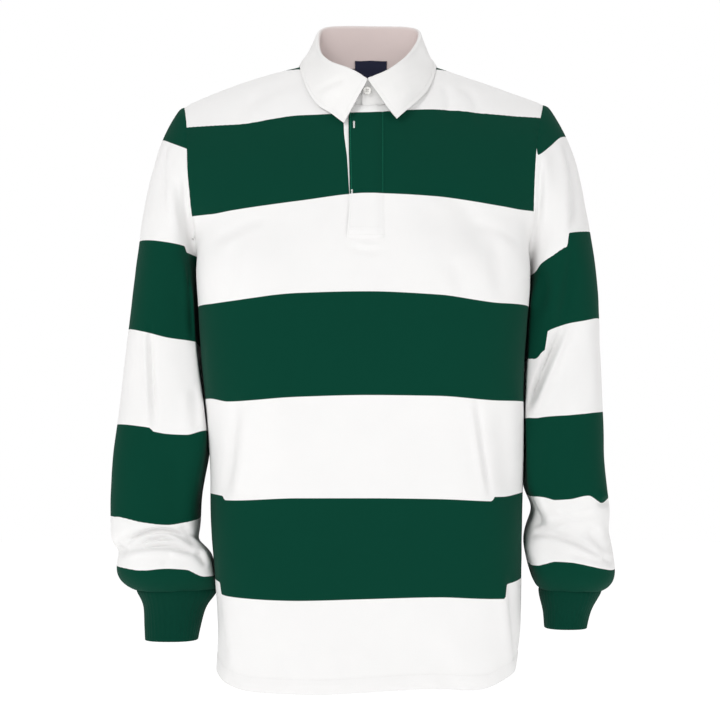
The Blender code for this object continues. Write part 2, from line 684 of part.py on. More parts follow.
def collar_frame(turn):
    """Centre of the roll, the way out from the neck and the way up, at a place on the collar."""
    step = 0.01
    ahead = collar_point(min(turn + step, 1.0), "roll") - collar_point(max(turn - step, 0.0), "roll")
    if turn in (0.0, 1.0):
        ahead = Vector((-1.0, 0.0, 0.0))
    out = Vector((-ahead.y, ahead.x, 0.0)).normalized()
    return collar_point(turn, "roll"), out, ahead.cross(out).normalized()


def top_of_stand(turn):
    centre, out, _ = collar_frame(turn)
    return centre - out * ROLL_RADIUS


def collar_profile(start, turn):
    """Points up the stand's neck side, over the roll and down the fall."""
    centre, out, up = collar_frame(turn)
    points = [start.lerp(top_of_stand(turn), share) for share in (0.0, 0.33, 0.67)]
    for degrees in (0.0, 45.0, 90.0, 135.0, 180.0):
        a = math.radians(degrees)
        points.append(centre + (up * math.sin(a) - out * math.cos(a)) * ROLL_RADIUS)
    begin = points[-1]
    edge = collar_point(turn, "edge")
    for share in (0.25, 0.5, 0.75, 1.0):
        bow = (out + up * 0.3) * (4.0 * share * (1.0 - share) * FALL_BULGE)
        points.append(begin.lerp(edge, share) + bow)
    return points


def collar(panels, material):
    points, panel_normals, ways = neckline(panels)
    last = len(points) - 1
    columns = []
    foot_normals = []
    for i, (point, normal, way) in enumerate(zip(points, panel_normals, ways)):
        turn = i / last
        rising = top_of_stand(turn) - point
        through = (normal * rising.dot(way) - way * rising.dot(normal)).normalized()
        start = point + way * SEAM - through * TWILL
        if i in (0, last):
            start.x = -COLLAR_SPLIT if i == 0 else COLLAR_SPLIT
        foot_normals.append(-through)
        columns.append(collar_profile(start, turn))
    grid = [[column[r] for column in columns] for r in range(len(columns[0]))]
    normals = grid_normals(grid, 1)
    normals[0] = foot_normals
    for r in range(STAND_ROWS):
        flatten(normals[r][0], 0)
        flatten(normals[r][last], 0)
    wall("collar", grid, normals, TWILL, material)


# ================================================================ pieces laid on the panels
def inside_triangle(x, z, corners):
    """Shares of three corners at a place, or None outside them."""
    (ax, az), (bx, bz), (cx, cz) = ((p.x, p.z) for p in corners)
    whole = (bx - ax) * (cz - az) - (cx - ax) * (bz - az)
    if abs(whole) < 1e-12:
        return None
    v = ((x - ax) * (cz - az) - (cx - ax) * (z - az)) / whole
    w = ((bx - ax) * (z - az) - (x - ax) * (bz - az)) / whole
    shares = (1.0 - v - w, v, w)
    return shares if min(shares) >= -1e-6 else None


def on_panel(panel, x, z):
    """The panel's own surface and normal at a place in the front view."""
    grid, normals = panel
    for r in range(len(grid) - 1):
        for c in range(len(grid[0]) - 1):
            for corner in ((r, c + 1), (r + 1, c)):
                places = ((r, c), corner, (r + 1, c + 1))
                shares = inside_triangle(x, z, [grid[i][j] for i, j in places])
                if shares:
                    point = sum((grid[i][j] * s for (i, j), s in zip(places, shares)), Vector())
                    normal = sum((normals[i][j] * s for (i, j), s in zip(places, shares)), Vector())
                    return point, normal.normalized()
    raise ValueError(f"no panel at {x}, {z}")


def strip_grid(panel, free_column, stitched_x, lift):
    """Outer points of a placket strip, from the neckline down."""
    grid = []
    for row in range(PLACKET_ROWS + 1):
        drop = row / PLACKET_ROWS
        level = mix(NECKLINE_Z[-1], PLACKET_BOTTOM_Z, drop)
        free_x = read(PLACKET, "z", free_column, level)
        line = []
        for column in range(PLACKET_COLUMNS + 1):
            x = mix(free_x, stitched_x, column / PLACKET_COLUMNS)
            top = neckline_z(x, -1) - PLACKET_TOP_GAP
            point, normal = on_panel(panel, x, mix(top, PLACKET_BOTTOM_Z, drop))
            line.append(point + normal * lift)
        grid.append(line)
    return grid


def plackets(panel, striped, white):
    under_top = LAID_ON + FACING
    upper_top = under_top + LAID_ON + JERSEY
    grid = strip_grid(panel, "under_x", UNDER_RIGHT_X, under_top)
    wall("placket_under", grid, grid_normals(grid, -1), FACING, white)
    grid = strip_grid(panel, "upper_x", PLACKET_RIGHT_X, upper_top)
    wall("placket_upper", grid, grid_normals(grid, -1), JERSEY, striped)


def collar_button(collar_front_y, material):
    """A flat round button on the outer face of the stand."""
    bm = bmesh.new()
    face_y = collar_front_y - LAID_ON
    rings = []
    bevel = BUTTON_THICKNESS / 4
    for depth, radius in (
        (0.0, BUTTON_RADIUS - bevel),
        (bevel, BUTTON_RADIUS),
        (BUTTON_THICKNESS - bevel, BUTTON_RADIUS),
        (BUTTON_THICKNESS, BUTTON_RADIUS - bevel),
    ):
        ring = []
        for j in range(BUTTON_SIDES):
            a = 2.0 * math.pi * j / BUTTON_SIDES
            x = BUTTON_AT[0] + radius * math.cos(a)
            z = BUTTON_AT[1] + radius * math.sin(a)
            ring.append(bm.verts.new((x, face_y - depth, z)))
        rings.append(ring)
    for lower, upper in zip(rings, rings[1:]):
        add_band(bm, lower, upper, wrap=True)
    bm.faces.new(rings[0])
    bm.faces.new(rings[-1])
    new_object("collar_button", bm, material)


def neck_label(panel, material):
    """A flat label sewn in below the back neckline, on the panel's inner face."""
    grid = []
    normals = []
    for row in range(LABEL_CELLS + 1):
        line = []
        ways = []
        for column in range(LABEL_CELLS + 1):
            x = mix(*LABEL_X, column / LABEL_CELLS)
            z = neckline_z(x, 1) - LABEL_BELOW_SEAM - LABEL_HEIGHT * row / LABEL_CELLS
            point, normal = on_panel(panel, x, z)
            line.append(point - normal * (JERSEY + LAID_ON + LABEL))
            ways.append(-normal)
        grid.append(line)
        normals.append(ways)
    wall("neck_label", grid, normals, LABEL, material)


# ================================================================ the shirt
def main():
    for old in list(bpy.data.objects):
        bpy.data.objects.remove(old)
    jersey = cloth("striped_jersey", (0.93, 0.93, 0.93), 0.85)
    twill = cloth("white_twill", (0.93, 0.93, 0.92), 0.80)
    rib = cloth("green_rib", (0.005, 0.053, 0.033), 0.90)
    woven = cloth("navy_label", (0.012, 0.014, 0.030), 0.70)
    rubber = cloth("white_rubber", (0.85, 0.85, 0.83), 0.45)

    panels = {}
    for face, name in ((-1, "front"), (1, "back")):
        grid = panel_grid(face)
        normals = seam_panel_normals(grid_normals(grid, -face))
        panels[face] = (grid, normals)
        wall(name, grid, normals, JERSEY, jersey)

    sleeve("sleeve_right", SLEEVE_RIGHT, FOLDS_RIGHT, panels, -1, jersey)
    sleeve("sleeve_left", SLEEVE_LEFT, FOLDS_LEFT, panels, 1, jersey)
    cuff("cuff_right", CUFF_RIGHT, -1, rib)
    cuff("cuff_left", CUFF_LEFT, 1, rib)
    collar(panels, twill)
    plackets(panels[-1], jersey, twill)
    collar_button(COLLAR[0].roll_y + ROLL_RADIUS - TWILL, rubber)
    neck_label(panels[1], woven)


main()
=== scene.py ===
# %% [markdown]
# # A rugby shirt in wide hoops, filled out with nobody inside
#
# The shirt is made as a maker would see it: a front, a back, two sleeves, two ribbed cuffs, a
# folded collar, a placket of two strips, a button and a label. The frame that is loaded first
# holds each of them as a plain wall of cloth at its real size. Every cloth piece starts from the
# outer face of its own wall, so it can't drift away from the pattern. It is then smoothed,
# creased, given the thickness of its cloth, and sewn.

import json
import math
from collections import namedtuple

import bmesh
import bpy
import numpy as np
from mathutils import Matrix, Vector, noise
from mathutils.bvhtree import BVHTree

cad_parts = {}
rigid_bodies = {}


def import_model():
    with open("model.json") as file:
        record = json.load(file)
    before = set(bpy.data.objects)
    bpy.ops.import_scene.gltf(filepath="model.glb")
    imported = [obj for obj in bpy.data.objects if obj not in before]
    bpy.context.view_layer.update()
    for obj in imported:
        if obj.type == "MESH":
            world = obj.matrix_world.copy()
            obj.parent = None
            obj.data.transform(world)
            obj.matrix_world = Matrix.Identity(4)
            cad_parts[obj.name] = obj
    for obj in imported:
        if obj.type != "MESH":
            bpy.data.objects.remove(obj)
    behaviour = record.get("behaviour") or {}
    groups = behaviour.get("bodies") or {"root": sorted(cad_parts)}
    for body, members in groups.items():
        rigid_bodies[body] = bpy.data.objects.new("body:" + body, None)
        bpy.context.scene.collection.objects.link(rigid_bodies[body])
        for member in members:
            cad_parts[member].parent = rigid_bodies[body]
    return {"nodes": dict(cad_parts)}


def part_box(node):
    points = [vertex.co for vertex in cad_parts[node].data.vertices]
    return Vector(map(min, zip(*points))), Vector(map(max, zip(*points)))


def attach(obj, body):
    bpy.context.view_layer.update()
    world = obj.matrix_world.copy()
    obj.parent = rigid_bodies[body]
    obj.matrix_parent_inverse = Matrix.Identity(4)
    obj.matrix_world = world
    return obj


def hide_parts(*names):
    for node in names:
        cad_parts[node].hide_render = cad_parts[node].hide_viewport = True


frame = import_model()
bpy.context.view_layer.update()
bpy.ops.object.select_all(action="DESELECT")
MM = 0.001

# %% [markdown]
# ## Camera, floor and light
#
# A long lens from about two metres shows the shirt without much perspective. It stands at the
# height of the lower chest and looks up a little. A pale floor lies where a wearer's feet would
# be. Three large soft lamps and a white sky light white cloth without burning it out. The key
# comes from the upper left, so that folds get a bright and a shaded side, and a weak lamp beside
# the camera reaches into the gaps between the sleeves and the body.

# %% Camera
CAMERA_AT = (-0.00915, -1.952, -0.461)
CAMERA_PITCH = math.radians(2.862)
LENS, SENSOR = 80.0, 36.0
bpy.ops.object.camera_add(location=CAMERA_AT, rotation=(math.pi / 2 + CAMERA_PITCH, 0.0, 0.0))
camera = bpy.context.object
camera.name = "camera"
camera.data.lens = LENS
camera.data.sensor_width = SENSOR
bpy.context.scene.camera = camera
print("camera at", CAMERA_AT)

# %% Floor
FLOOR_Z = -1.45
FLOOR_RADIUS = 14.0
FLOOR_GREY = (0.92, 0.92, 0.92)
FLOOR_ROUGHNESS, FLOOR_GLOW = 0.9, 0.6


def shader_of(material):
    """The one shader of a material."""
    return material.node_tree.nodes["Principled BSDF"]


def plain_material(name, colour, roughness):
    """A material with one Principled shader, ready for more nodes."""
    material = bpy.data.materials.new(name)
    material.use_nodes = True
    shader = shader_of(material)
    shader.inputs["Base Color"].default_value = (*colour, 1.0)
    shader.inputs["Roughness"].default_value = roughness
    return material


bpy.ops.mesh.primitive_circle_add(
    vertices=96, radius=FLOOR_RADIUS, fill_type="NGON", location=(0.0, 0.0, FLOOR_Z)
)
floor = bpy.context.object
floor.name = "floor"
floor_paint = plain_material("pale_floor", FLOOR_GREY, FLOOR_ROUGHNESS)
shader_of(floor_paint).inputs["Emission Color"].default_value = (1.0, 1.0, 1.0, 1.0)
shader_of(floor_paint).inputs["Emission Strength"].default_value = FLOOR_GLOW
floor.data.materials.append(floor_paint)
print("floor at", FLOOR_Z)

# %% Light
SKY_LIGHT = 0.475
SHIRT_MIDDLE = (0.0, 0.0, -0.35)
Lamp = namedtuple("Lamp", "name at size watts")
LAMPS = (
    Lamp("key", (-1.6, -2.0, 1.3), 1.1, 30.0),
    Lamp("fill", (1.9, -1.7, 1.2), 1.8, 14.5),
    Lamp("front", (0.2, -2.9, -0.2), 1.4, 4.0),
    Lamp("back_light", (0.4, 1.8, 2.2), 1.6, 26.0),
)


def add_lamp(lamp):
    """A square soft light that looks at the middle of the shirt."""
    bpy.ops.object.light_add(type="AREA", location=lamp.at)
    light = bpy.context.object
    light.name = lamp.name
    light.data.size = lamp.size
    light.data.energy = lamp.watts
    aim = Vector(SHIRT_MIDDLE) - Vector(lamp.at)
    light.rotation_euler = aim.to_track_quat("-Z", "Y").to_euler()


for lamp in LAMPS:
    add_lamp(lamp)


def make_sky():
    """A white sky: softer as a light than it looks as a background."""
    world = bpy.data.worlds.new("studio")
    bpy.context.scene.world = world
    world.use_nodes = True
    nodes, links = world.node_tree.nodes, world.node_tree.links
    background = nodes["Background"]
    background.inputs["Color"].default_value = (1.0, 1.0, 1.0, 1.0)
    seen = nodes.new("ShaderNodeLightPath")
    strength = nodes.new("ShaderNodeMapRange")
    strength.inputs["To Min"].default_value = SKY_LIGHT
    strength.inputs["To Max"].default_value = 1.0
    links.new(seen.outputs["Is Camera Ray"], strength.inputs["Value"])
    links.new(strength.outputs["Result"], background.inputs["Strength"])


make_sky()
bpy.context.scene.view_settings.view_transform = "Standard"
print("lamps:", [lamp.name for lamp in LAMPS])

# %% [markdown]
# ## From a solid wall back to a sheet
#
# A wall of cloth is two grids of points, an outer and an inner one, joined by a narrow rim. Its
# triangles could be smoothed as they are, but triangles make a lumpy surface, and a pattern needs
# rows and columns. So the rim is cut away, the outer layer is kept, and its points are read in
# order, row by row. The result is a clean grid of four-sided faces that knows how far along and
# across the cloth each point lies.

# %% Keep a wall's outer layer
JERSEY = 1.8 * MM
TWILL = 1.6 * MM
FACING = 1.1 * MM
MERGE = 0.02 * MM
RIM_MATCH = 0.01
LEVEL = 0.8
HANDS = {-1: "right", 1: "left"}


def only(piece):
    """Select one object and make it active."""
    bpy.ops.object.select_all(action="DESELECT")
    piece.select_set(True)
    bpy.context.view_layer.objects.active = piece


def in_edit_mode(piece, *steps):
    """Run mesh operators on all of a piece. Each step is an operator and its settings."""
    only(piece)
    bpy.ops.object.mode_set(mode="EDIT")
    bpy.ops.mesh.select_all(action="SELECT")
    for operator, settings in steps:
        operator(**settings)
    bpy.ops.object.mode_set(mode="OBJECT")


def is_rim(mesh, face, thickness):
    """A rim's face has an edge as long as the cloth is thick. Without a thickness it is level."""
    if thickness is None:
        return abs(face.normal.z) > LEVEL
    corners = [mesh.vertices[i].co for i in face.vertices]
    sides = [(a - b).length for a, b in zip(corners, corners[1:] + corners[:1])]
    return any(abs(side - thickness) < RIM_MATCH * thickness for side in sides)


def neighbours(point):
    """The points that share an edge with one point of an edit mesh."""
    return {edge.other_vert(point) for edge in point.link_edges}


def outer_layer(node, thickness, seed):
    """A copy of a wall's outer face. seed gives the highest number on the outer side."""
    piece = bpy.data.objects.new(node + "_wall", frame["nodes"][node].data.copy())
    bpy.context.collection.objects.link(piece)
    in_edit_mode(piece, (bpy.ops.mesh.remove_doubles, {"threshold": MERGE}))
    body = bmesh.new()
    body.from_mesh(piece.data)
    body.faces.ensure_lookup_table()
    rim = [body.faces[f.index] for f in piece.data.polygons if is_rim(piece.data, f, thickness)]
    bmesh.ops.delete(body, geom=rim, context="FACES")
    bpy.data.objects.remove(piece)
    todo = [max(body.verts, key=lambda v: seed(v.co))]
    kept = set(todo)
    while todo:
        found = neighbours(todo.pop()) - kept
        kept |= found
        todo += found
    bmesh.ops.delete(body, geom=[v for v in body.verts if v not in kept], context="VERTS")
    return body


# %% Read a layer's points in rows
PANEL_COLUMNS = 28
TUBE_FOOT = 1.0 * MM


def boundary_loop(start, toward):
    """The open edge's points from start, setting off to the neighbour that toward likes best."""
    loop = [start]
    while True:
        onward = [
            e.other_vert(loop[-1]) for e in loop[-1].link_edges
            if e.is_boundary and e.other_vert(loop[-1]) not in loop
        ]
        if not onward:
            return loop
        loop.append(max(onward, key=lambda v: toward(v.co)) if len(loop) == 1 else onward[0])


def shortest_path(start, end):
    """The shortest way along edges from one point to another."""
    far, before, todo = {start: 0.0}, {}, {start}
    while todo:
        here = min(todo, key=far.get)
        todo.remove(here)
        for link in here.link_edges:
            other = link.other_vert(here)
            length = far[here] + link.calc_length()
            if length < far.get(other, math.inf):
                far[other], before[other] = length, here
                todo.add(other)
    path = [end]
    while path[-1] is not start:
        path.append(before[path[-1]])
    return path[::-1]


def fill_rows(first_row, first_column):
    """All rows of a grid from its first row and column.

    A point is the one that its left and its upper neighbour both touch."""
    rows = [first_row]
    for start in first_column[1:]:
        row = [start]
        for c in range(1, len(first_row)):
            shared = neighbours(row[-1]) & neighbours(rows[-1][c])
            (point,) = shared - {rows[-1][c - 1]}
            row.append(point)
        rows.append(row)
    return rows


def open_edge(body):
    """The points on a layer's open edges."""
    return [v for v in body.verts if v.is_boundary]


def read_out(body, rows):
    """The places of a layer's rows of points. The layer itself is no longer needed."""
    grid = np.array([[list(v.co) for v in row] for row in rows])
    body.free()
    return grid


def panel_rows(node, way):
    """A panel's outer points: rows up from its lowest corner at -X. It faces along way times Y."""
    body = outer_layer(node, JERSEY, lambda p: way * p.y)
    edge = open_edge(body)
    corner = min(edge, key=lambda v: v.co.x + v.co.z + abs(v.co.y))
    across = boundary_loop(corner, lambda p: p.x - abs(p.z - corner.co.z))[: PANEL_COLUMNS + 1]
    up = boundary_loop(corner, lambda p: p.z)
    height = (len(up) - 2 * PANEL_COLUMNS) // 2
    return read_out(body, fill_rows(across, up[: height + 1]))


def tube_rows(node, thickness, side):
    """A tube's outer points: rings down from the top, each from the outer side by the front."""
    body = outer_layer(node, thickness, lambda p: side * p.x)
    edge = open_edge(body)
    low = min(v.co.z for v in edge) + TUBE_FOOT
    top = max(edge, key=lambda v: v.co.z + side * v.co.x)
    bottom = max((v for v in edge if v.co.z < low), key=lambda v: side * v.co.x)
    ring = boundary_loop(top, lambda p: -p.y)
    return read_out(body, fill_rows(ring, shortest_path(top, bottom)))


front_rows, back_rows = panel_rows("front", -1), panel_rows("back", 1)
sleeve_rows = {side: tube_rows("sleeve_" + hand, JERSEY, side) for side, hand in HANDS.items()}
cuff_rows = {side: tube_rows("cuff_" + hand, None, side) for side, hand in HANDS.items()}
print("rows and columns of front and back:", front_rows.shape[:2], back_rows.shape[:2])
for side, hand in HANDS.items():
    print(hand, "sleeve and cuff:", sleeve_rows[side].shape[:2], cuff_rows[side].shape[:2])

# %% Read the collar and the small strips
COLLAR_ROWS = 12
COLLAR_FRONT_Y = -0.0681
FACING_FRONT = -0.6


def collar_grid():
    """The collar's outer points: rows from the foot over the roll to the edge of the fall."""
    body = outer_layer("collar", TWILL, lambda p: p.z)
    edge = [v for v in open_edge(body) if v.co.x < 0]
    foot = max(edge, key=lambda v: v.co.x - 2 * abs(v.co.y - COLLAR_FRONT_Y))
    across = boundary_loop(foot, lambda p: -p.x)
    length = len(across) // 2 - COLLAR_ROWS + 2
    down = [across[0]] + across[:0:-1]
    return read_out(body, fill_rows(across[:length], down[:COLLAR_ROWS]))


def strip_grid(node, across_count):
    """A flat strip's outer points, which all face the front: rows up, from -X to +X."""
    mesh = frame["nodes"][node].data
    facing = {i for f in mesh.polygons if f.normal.y < FACING_FRONT for i in f.vertices}
    points = []
    for i in facing:
        place = np.array(mesh.vertices[i].co)
        if all(np.linalg.norm(place - other) > MERGE for other in points):
            points.append(place)
    points.sort(key=lambda p: p[2])
    rows = [points[i:i + across_count] for i in range(0, len(points), across_count)]
    return np.array([sorted(row, key=lambda p: p[0]) for row in rows])


collar_rows = collar_grid()
STRIP_COLUMNS = {"placket_upper": 4, "placket_under": 4, "neck_label": 5}
strip_rows = {name: strip_grid(name, count) for name, count in STRIP_COLUMNS.items()}
print("collar:", collar_rows.shape[:2])
print("strips:", {name: rows.shape[:2] for name, rows in strip_rows.items()})

# %% [markdown]
# ## Flatter fronts, and bulges at the sleeve ends
#
# A wall in the frame is round, but heavy cloth that hangs off a shoulder or an arm is flatter in
# front, and turns more tightly at the sides. So each ring below the armpits is squared a little:
# its widest and deepest points stay, and those between them move out. In front this is done as the
# camera sees it, which keeps the outline. The upper half of a sleeve leans on the body. The
# bunched sleeve ends also bulge and pinch here and there, which moves a few points sideways.

# %% Square the rings a little
ROUNDNESS = 2.4
FRONT_SQUARED, BACK_SQUARED = 5.0, 3.2
SLEEVE_SQUARED, CORNER_SQUARED = 3.2, 8.0
SQUARE_FROM, SQUARE_TO = -0.180, -0.265
SQUARE_FADE = 0.035
LEAST_REACH = 0.1
CORNER = (-0.3, 0.5)


def smooth_step(low, high, value):
    """0 at low and 1 at high, with a soft rise between them. High may be the lower number."""
    t = np.clip((value - low) / (high - low), 0.0, 1.0)
    return t * t * (3.0 - 2.0 * t)


def as_seen(rows, middle_y, undo=False):
    """Points before a ring's middle, moved sideways to where the camera sees them, or back."""
    depth = middle_y - CAMERA_AT[1]
    nearness = np.minimum(rows[..., 1] - CAMERA_AT[1], depth) / depth
    moved = rows.copy()
    scale = nearness if undo else 1 / nearness
    moved[..., 0] = CAMERA_AT[0] + (rows[..., 0] - CAMERA_AT[0]) * scale
    return moved


def squared(rows, middle, half, power, fade=1.0):
    """Move each ring's points out from its middle, most where they lie diagonally from it."""
    part = abs((rows - middle)[..., :2]) / np.maximum(half[..., :2], MM)
    power = np.broadcast_to(power, rows.shape[:2])
    round_reach = (part ** ROUNDNESS).sum(axis=-1) ** (1 / ROUNDNESS)
    square_reach = (part ** power[..., None]).sum(axis=-1) ** (1 / power)
    grow = round_reach / np.maximum(square_reach, LEAST_REACH)
    share = smooth_step(SQUARE_FROM, SQUARE_TO, rows[..., 2]) * fade
    moved = rows.copy()
    moved[..., :2] += (rows - middle)[..., :2] * ((grow - 1.0) * share)[..., None]
    return moved


def square_panel(rows, power):
    """Square a front or back panel, whose side edges stay where they are."""
    middle_y = rows[:, [0, -1], 1].mean(axis=1, keepdims=True)
    seen = as_seen(rows, middle_y)
    middle = seen[:, [0, -1]].mean(axis=1, keepdims=True)
    half = abs(seen - middle).max(axis=1, keepdims=True)
    return as_seen(squared(seen, middle, half, power), middle_y, undo=True)


def square_tube(rows, side):
    """Square a tube's rings, most in front beside the body, but not the last, at the cuff."""
    y = rows[..., 1]
    middle_y = (y.min(axis=1, keepdims=True) + y.max(axis=1, keepdims=True)) / 2
    seen = as_seen(rows, middle_y)
    low, high = seen.min(axis=1, keepdims=True), seen.max(axis=1, keepdims=True)
    middle, half = (low + high) / 2, (high - low) / 2
    part = (seen - middle) / np.maximum(half, MM)
    corner = smooth_step(*CORNER, -side * part[..., 0]) * smooth_step(*CORNER, -part[..., 1])
    power = SLEEVE_SQUARED + (CORNER_SQUARED - SLEEVE_SQUARED) * corner
    fade = smooth_step(0.0, SQUARE_FADE, rows[..., 2] - rows[-1, :, 2].mean())
    return as_seen(squared(seen, middle, half, power, fade), middle_y, undo=True)


front_rows = square_panel(front_rows, FRONT_SQUARED)
back_rows = square_panel(back_rows, BACK_SQUARED)
sleeve_rows = {side: square_tube(rows, side) for side, rows in sleeve_rows.items()}
print("the front is now", round(float(np.ptp(front_rows[..., 1])), 4), "m deep")

# %% Trim the body's sides
TRIM_FROM, TRIM_PAST = (90, 185), (212, 250)
SLEEVE_TRIM = (-0.48, -0.43)
TRIM_Z = (-200, -262, -290, -330, -378, -402, -450, -480, -530, -580, -602, -650, -700, -745)
TRIMS = {
    -1: (0, 1.5, 2.3, 1.5, 0.5, 1.2, 3.0, 3.5, 3.5, 4.0, 4.8, 4.6, 4.6, 4.0),
    1: (0, 2.5, 4.2, 4.0, 4.7, 4.7, 2.8, 2.5, 4.7, 4.7, 4.5, 2.8, 1.2, 0.5),
}


def trimmed(rows, follow=1.0):
    """Move the body's sides in by a few millimetres, and what joins them by less and less."""
    moved = rows.copy()
    for side, trims in TRIMS.items():
        reach = side * rows[..., 0] / MM
        share = smooth_step(*TRIM_FROM, reach) * (1.0 - smooth_step(*TRIM_PAST, reach)) * follow
        trim = np.interp(-rows[..., 2] / MM, [-z for z in TRIM_Z], trims)
        moved[..., 0] -= side * trim * MM * share
    return moved


front_rows, back_rows = trimmed(front_rows), trimmed(back_rows)
for side, rows in sleeve_rows.items():
    sleeve_rows[side] = trimmed(rows, smooth_step(*SLEEVE_TRIM, rows[..., 2]))
print("sides trimmed by up to", max(max(trims) for trims in TRIMS.values()), "mm")

# %% Lift the hem
HEM_X = (-186, -176, -165, -153, -143, -56, -9, 38, 73, 109, 128, 137, 147, 156, 168, 182)
HEM_LIFT = (14, 12.5, 7, 3.5, 1.2, 0, 2.4, 5.9, 7, 4.7, 1.5, 4.5, 8.3, 11.8, 16, 18)
BACK_HEM_X = (-186, -160, -110, 110, 150, 182)
BACK_HEM_LIFT = (14, 6, 0, 0, 6, 18)
LIFT_FROM = -0.640


def hem_lifted(rows, stations, lifts):
    """Raise a panel's hem by some millimetres along it, and the rows above it by less and less."""
    moved = rows.copy()
    share = smooth_step(LIFT_FROM, float(rows[..., 2].min()), rows[..., 2])
    moved[..., 2] += np.interp(rows[..., 0] / MM, stations, lifts) * MM * share
    return moved


front_rows = hem_lifted(front_rows, HEM_X, HEM_LIFT)
back_rows = hem_lifted(back_rows, BACK_HEM_X, BACK_HEM_LIFT)
print("lowest point:", round(float(front_rows[..., 2].min()), 4))

# %% Lean the sleeves on the body
CLEARANCE = 3.2 * MM
REST_TOP = (-0.262, -0.280)
REST_END = {-1: (-0.472, -0.440), 1: (-0.535, -0.505)}
REST_REACH = (9.0 * MM, 22.0 * MM)
OUTSIDE = 0.5


def grid_surface(*grids):
    """Grids of points as one surface to search."""
    points, faces = [], []
    for rows in grids:
        row_count, column_count = rows.shape[:2]
        for r, c in np.ndindex(row_count - 1, column_count - 1):
            low = len(points) + r * column_count + c
            high = low + column_count
            faces.append([low, low + 1, high + 1, high])
        points += [Vector(place) for place in rows.reshape(-1, 3)]
    return BVHTree.FromPolygons(points, faces)


def leaned(rows, side, body):
    """Move a sleeve's points beside the body until they just clear it, from either side."""
    moved = rows.copy()
    z = rows[..., 2]
    near = smooth_step(*REST_TOP, z) * smooth_step(*REST_END[side], z)
    for index in np.ndindex(rows.shape[:2]):
        x, y, height = rows[index]
        flank = body.ray_cast(Vector((side * OUTSIDE, y, height)), Vector((-side, 0, 0)))[0]
        if flank is None or height > REST_TOP[0]:
            continue
        gap = side * (x - flank.x) - CLEARANCE
        share = near[index] * (1.0 - smooth_step(*REST_REACH, gap)) if gap > 0.0 else 1.0
        moved[index][0] -= side * gap * share
    return moved


body_surface = grid_surface(front_rows, back_rows)
for side, hand in HANDS.items():
    upright = sleeve_rows[side]
    sleeve_rows[side] = leaned(upright, side, body_surface)
    moved_by = abs(sleeve_rows[side] - upright).max() / MM
    print("the", hand, "sleeve leans by up to", round(float(moved_by), 1), "mm")

# %% Bulges and pinches at the sleeve ends
Push = namedtuple("Push", "side x z reach shift at_front", defaults=(False,))
FRONT_CORNER = (-0.058, -0.084)
PUSHES = (
    Push(-1, -196, -526, 28, -3.0),
    Push(-1, -185, -603, 11, 3.0),
    Push(-1, -183, -622, 12, 4.0),
    Push(-1, -184, -638, 14, 6.0),
    Push(-1, -277, -652, 20, 6.0),
    Push(1, 290, -492, 45, -3.0),
    Push(1, 190, -543, 14, 5.5),
    Push(1, 187, -579, 12, -2.5),
    Push(1, 196, -590, 22, -7.0, True),
    Push(1, 272, -656, 14, -4.5),
    Push(1, 287, -556, 10, -2.0),
)


def pushed(rows, side):
    """Move points sideways, most where a push is centred, or only its corner in front."""
    moved = rows.copy()
    for push in PUSHES:
        if push.side == side:
            away = np.hypot(rows[..., 0] / MM - push.x, rows[..., 2] / MM - push.z)
            share = smooth_step(*FRONT_CORNER, rows[..., 1]) if push.at_front else 1.0
            moved[..., 0] += push.shift * MM * np.exp(-(away / push.reach) ** 2) * share
    return moved


for side in HANDS:
    sleeve_rows[side] = pushed(sleeve_rows[side], side)
    cuff_rows[side] = pushed(cuff_rows[side], side)
print("bulges and pinches:", len(PUSHES))

# %% [markdown]
# ## One skin for the front, the back and the sleeves
#
# On a real shirt the four sheets pull on each other through their seams, and a fold that starts
# in a sleeve often ends in the chest. So they are laid into one mesh and joined at the seams. A
# Subdivision Surface then rounds the whole skin at once, with no step where two sheets meet. Each
# sheet keeps a material slot of its own, by which it is cut out again later. Its UV map holds real
# distances along the cloth in metres, for the knit.

# %% Lay the four sheets into one mesh
SEAM_JOIN = 0.6 * MM
FINENESS = 3
MARKS = ("seam", "hem", "outward", "forward")
Sheet = namedtuple("Sheet", "name rows is_tube is_mirrored")
SHEETS = (
    Sheet("front", front_rows, False, False),
    Sheet("back", back_rows, False, True),
    Sheet("sleeve_right", sleeve_rows[-1], True, True),
    Sheet("sleeve_left", sleeve_rows[1], True, False),
)


def walked(points, axis):
    """The distance walked along one axis of a grid of points, from 0 at its start."""
    gaps = np.linalg.norm(np.diff(points, axis=axis), axis=2)
    start = np.zeros_like(gaps[:1] if axis == 0 else gaps[:, :1])
    return np.cumsum(np.concatenate([start, gaps], axis=axis), axis=axis)


def cloth_map(rows, is_tube):
    """Distances across the cloth, the same measured back from a tube's seam, and along it."""
    points = np.concatenate([rows, rows[:, :1]], axis=1) if is_tube else rows
    across = walked(points, 1)
    past_seam = across - across[:, -1:] if is_tube else across
    if not is_tube:
        middle = across[:, [across.shape[1] // 2]]
        across, past_seam = across - middle, past_seam - middle
    return across, past_seam, walked(points, 0)


def add_faces(body, rows, is_tube=False, is_mirrored=False, turns_back=False, slot=0):
    """Add a grid's points and four-sided faces with UVs in metres. It returns the points.

    With turns_back, a tube's second half is measured back from the seam that closes it."""
    uv = body.loops.layers.uv["UVMap"]
    across, past_seam, along = cloth_map(rows, is_tube)
    row_count, column_count = rows.shape[:2]
    grid = [[body.verts.new(place) for place in row] for row in rows]
    for r, c in np.ndindex(row_count - 1, column_count - (0 if is_tube else 1)):
        corners = [(r, c), (r, c + 1), (r + 1, c + 1), (r + 1, c)]
        if is_mirrored:
            corners.reverse()
        face = body.faces.new([grid[i][j % column_count] for i, j in corners])
        face.material_index = slot
        face.smooth = True
        source = past_seam if turns_back and c >= column_count // 2 else across
        for loop, (i, j) in zip(face.loops, corners):
            loop[uv].uv = (source[i, j], along[i, j])
    return grid


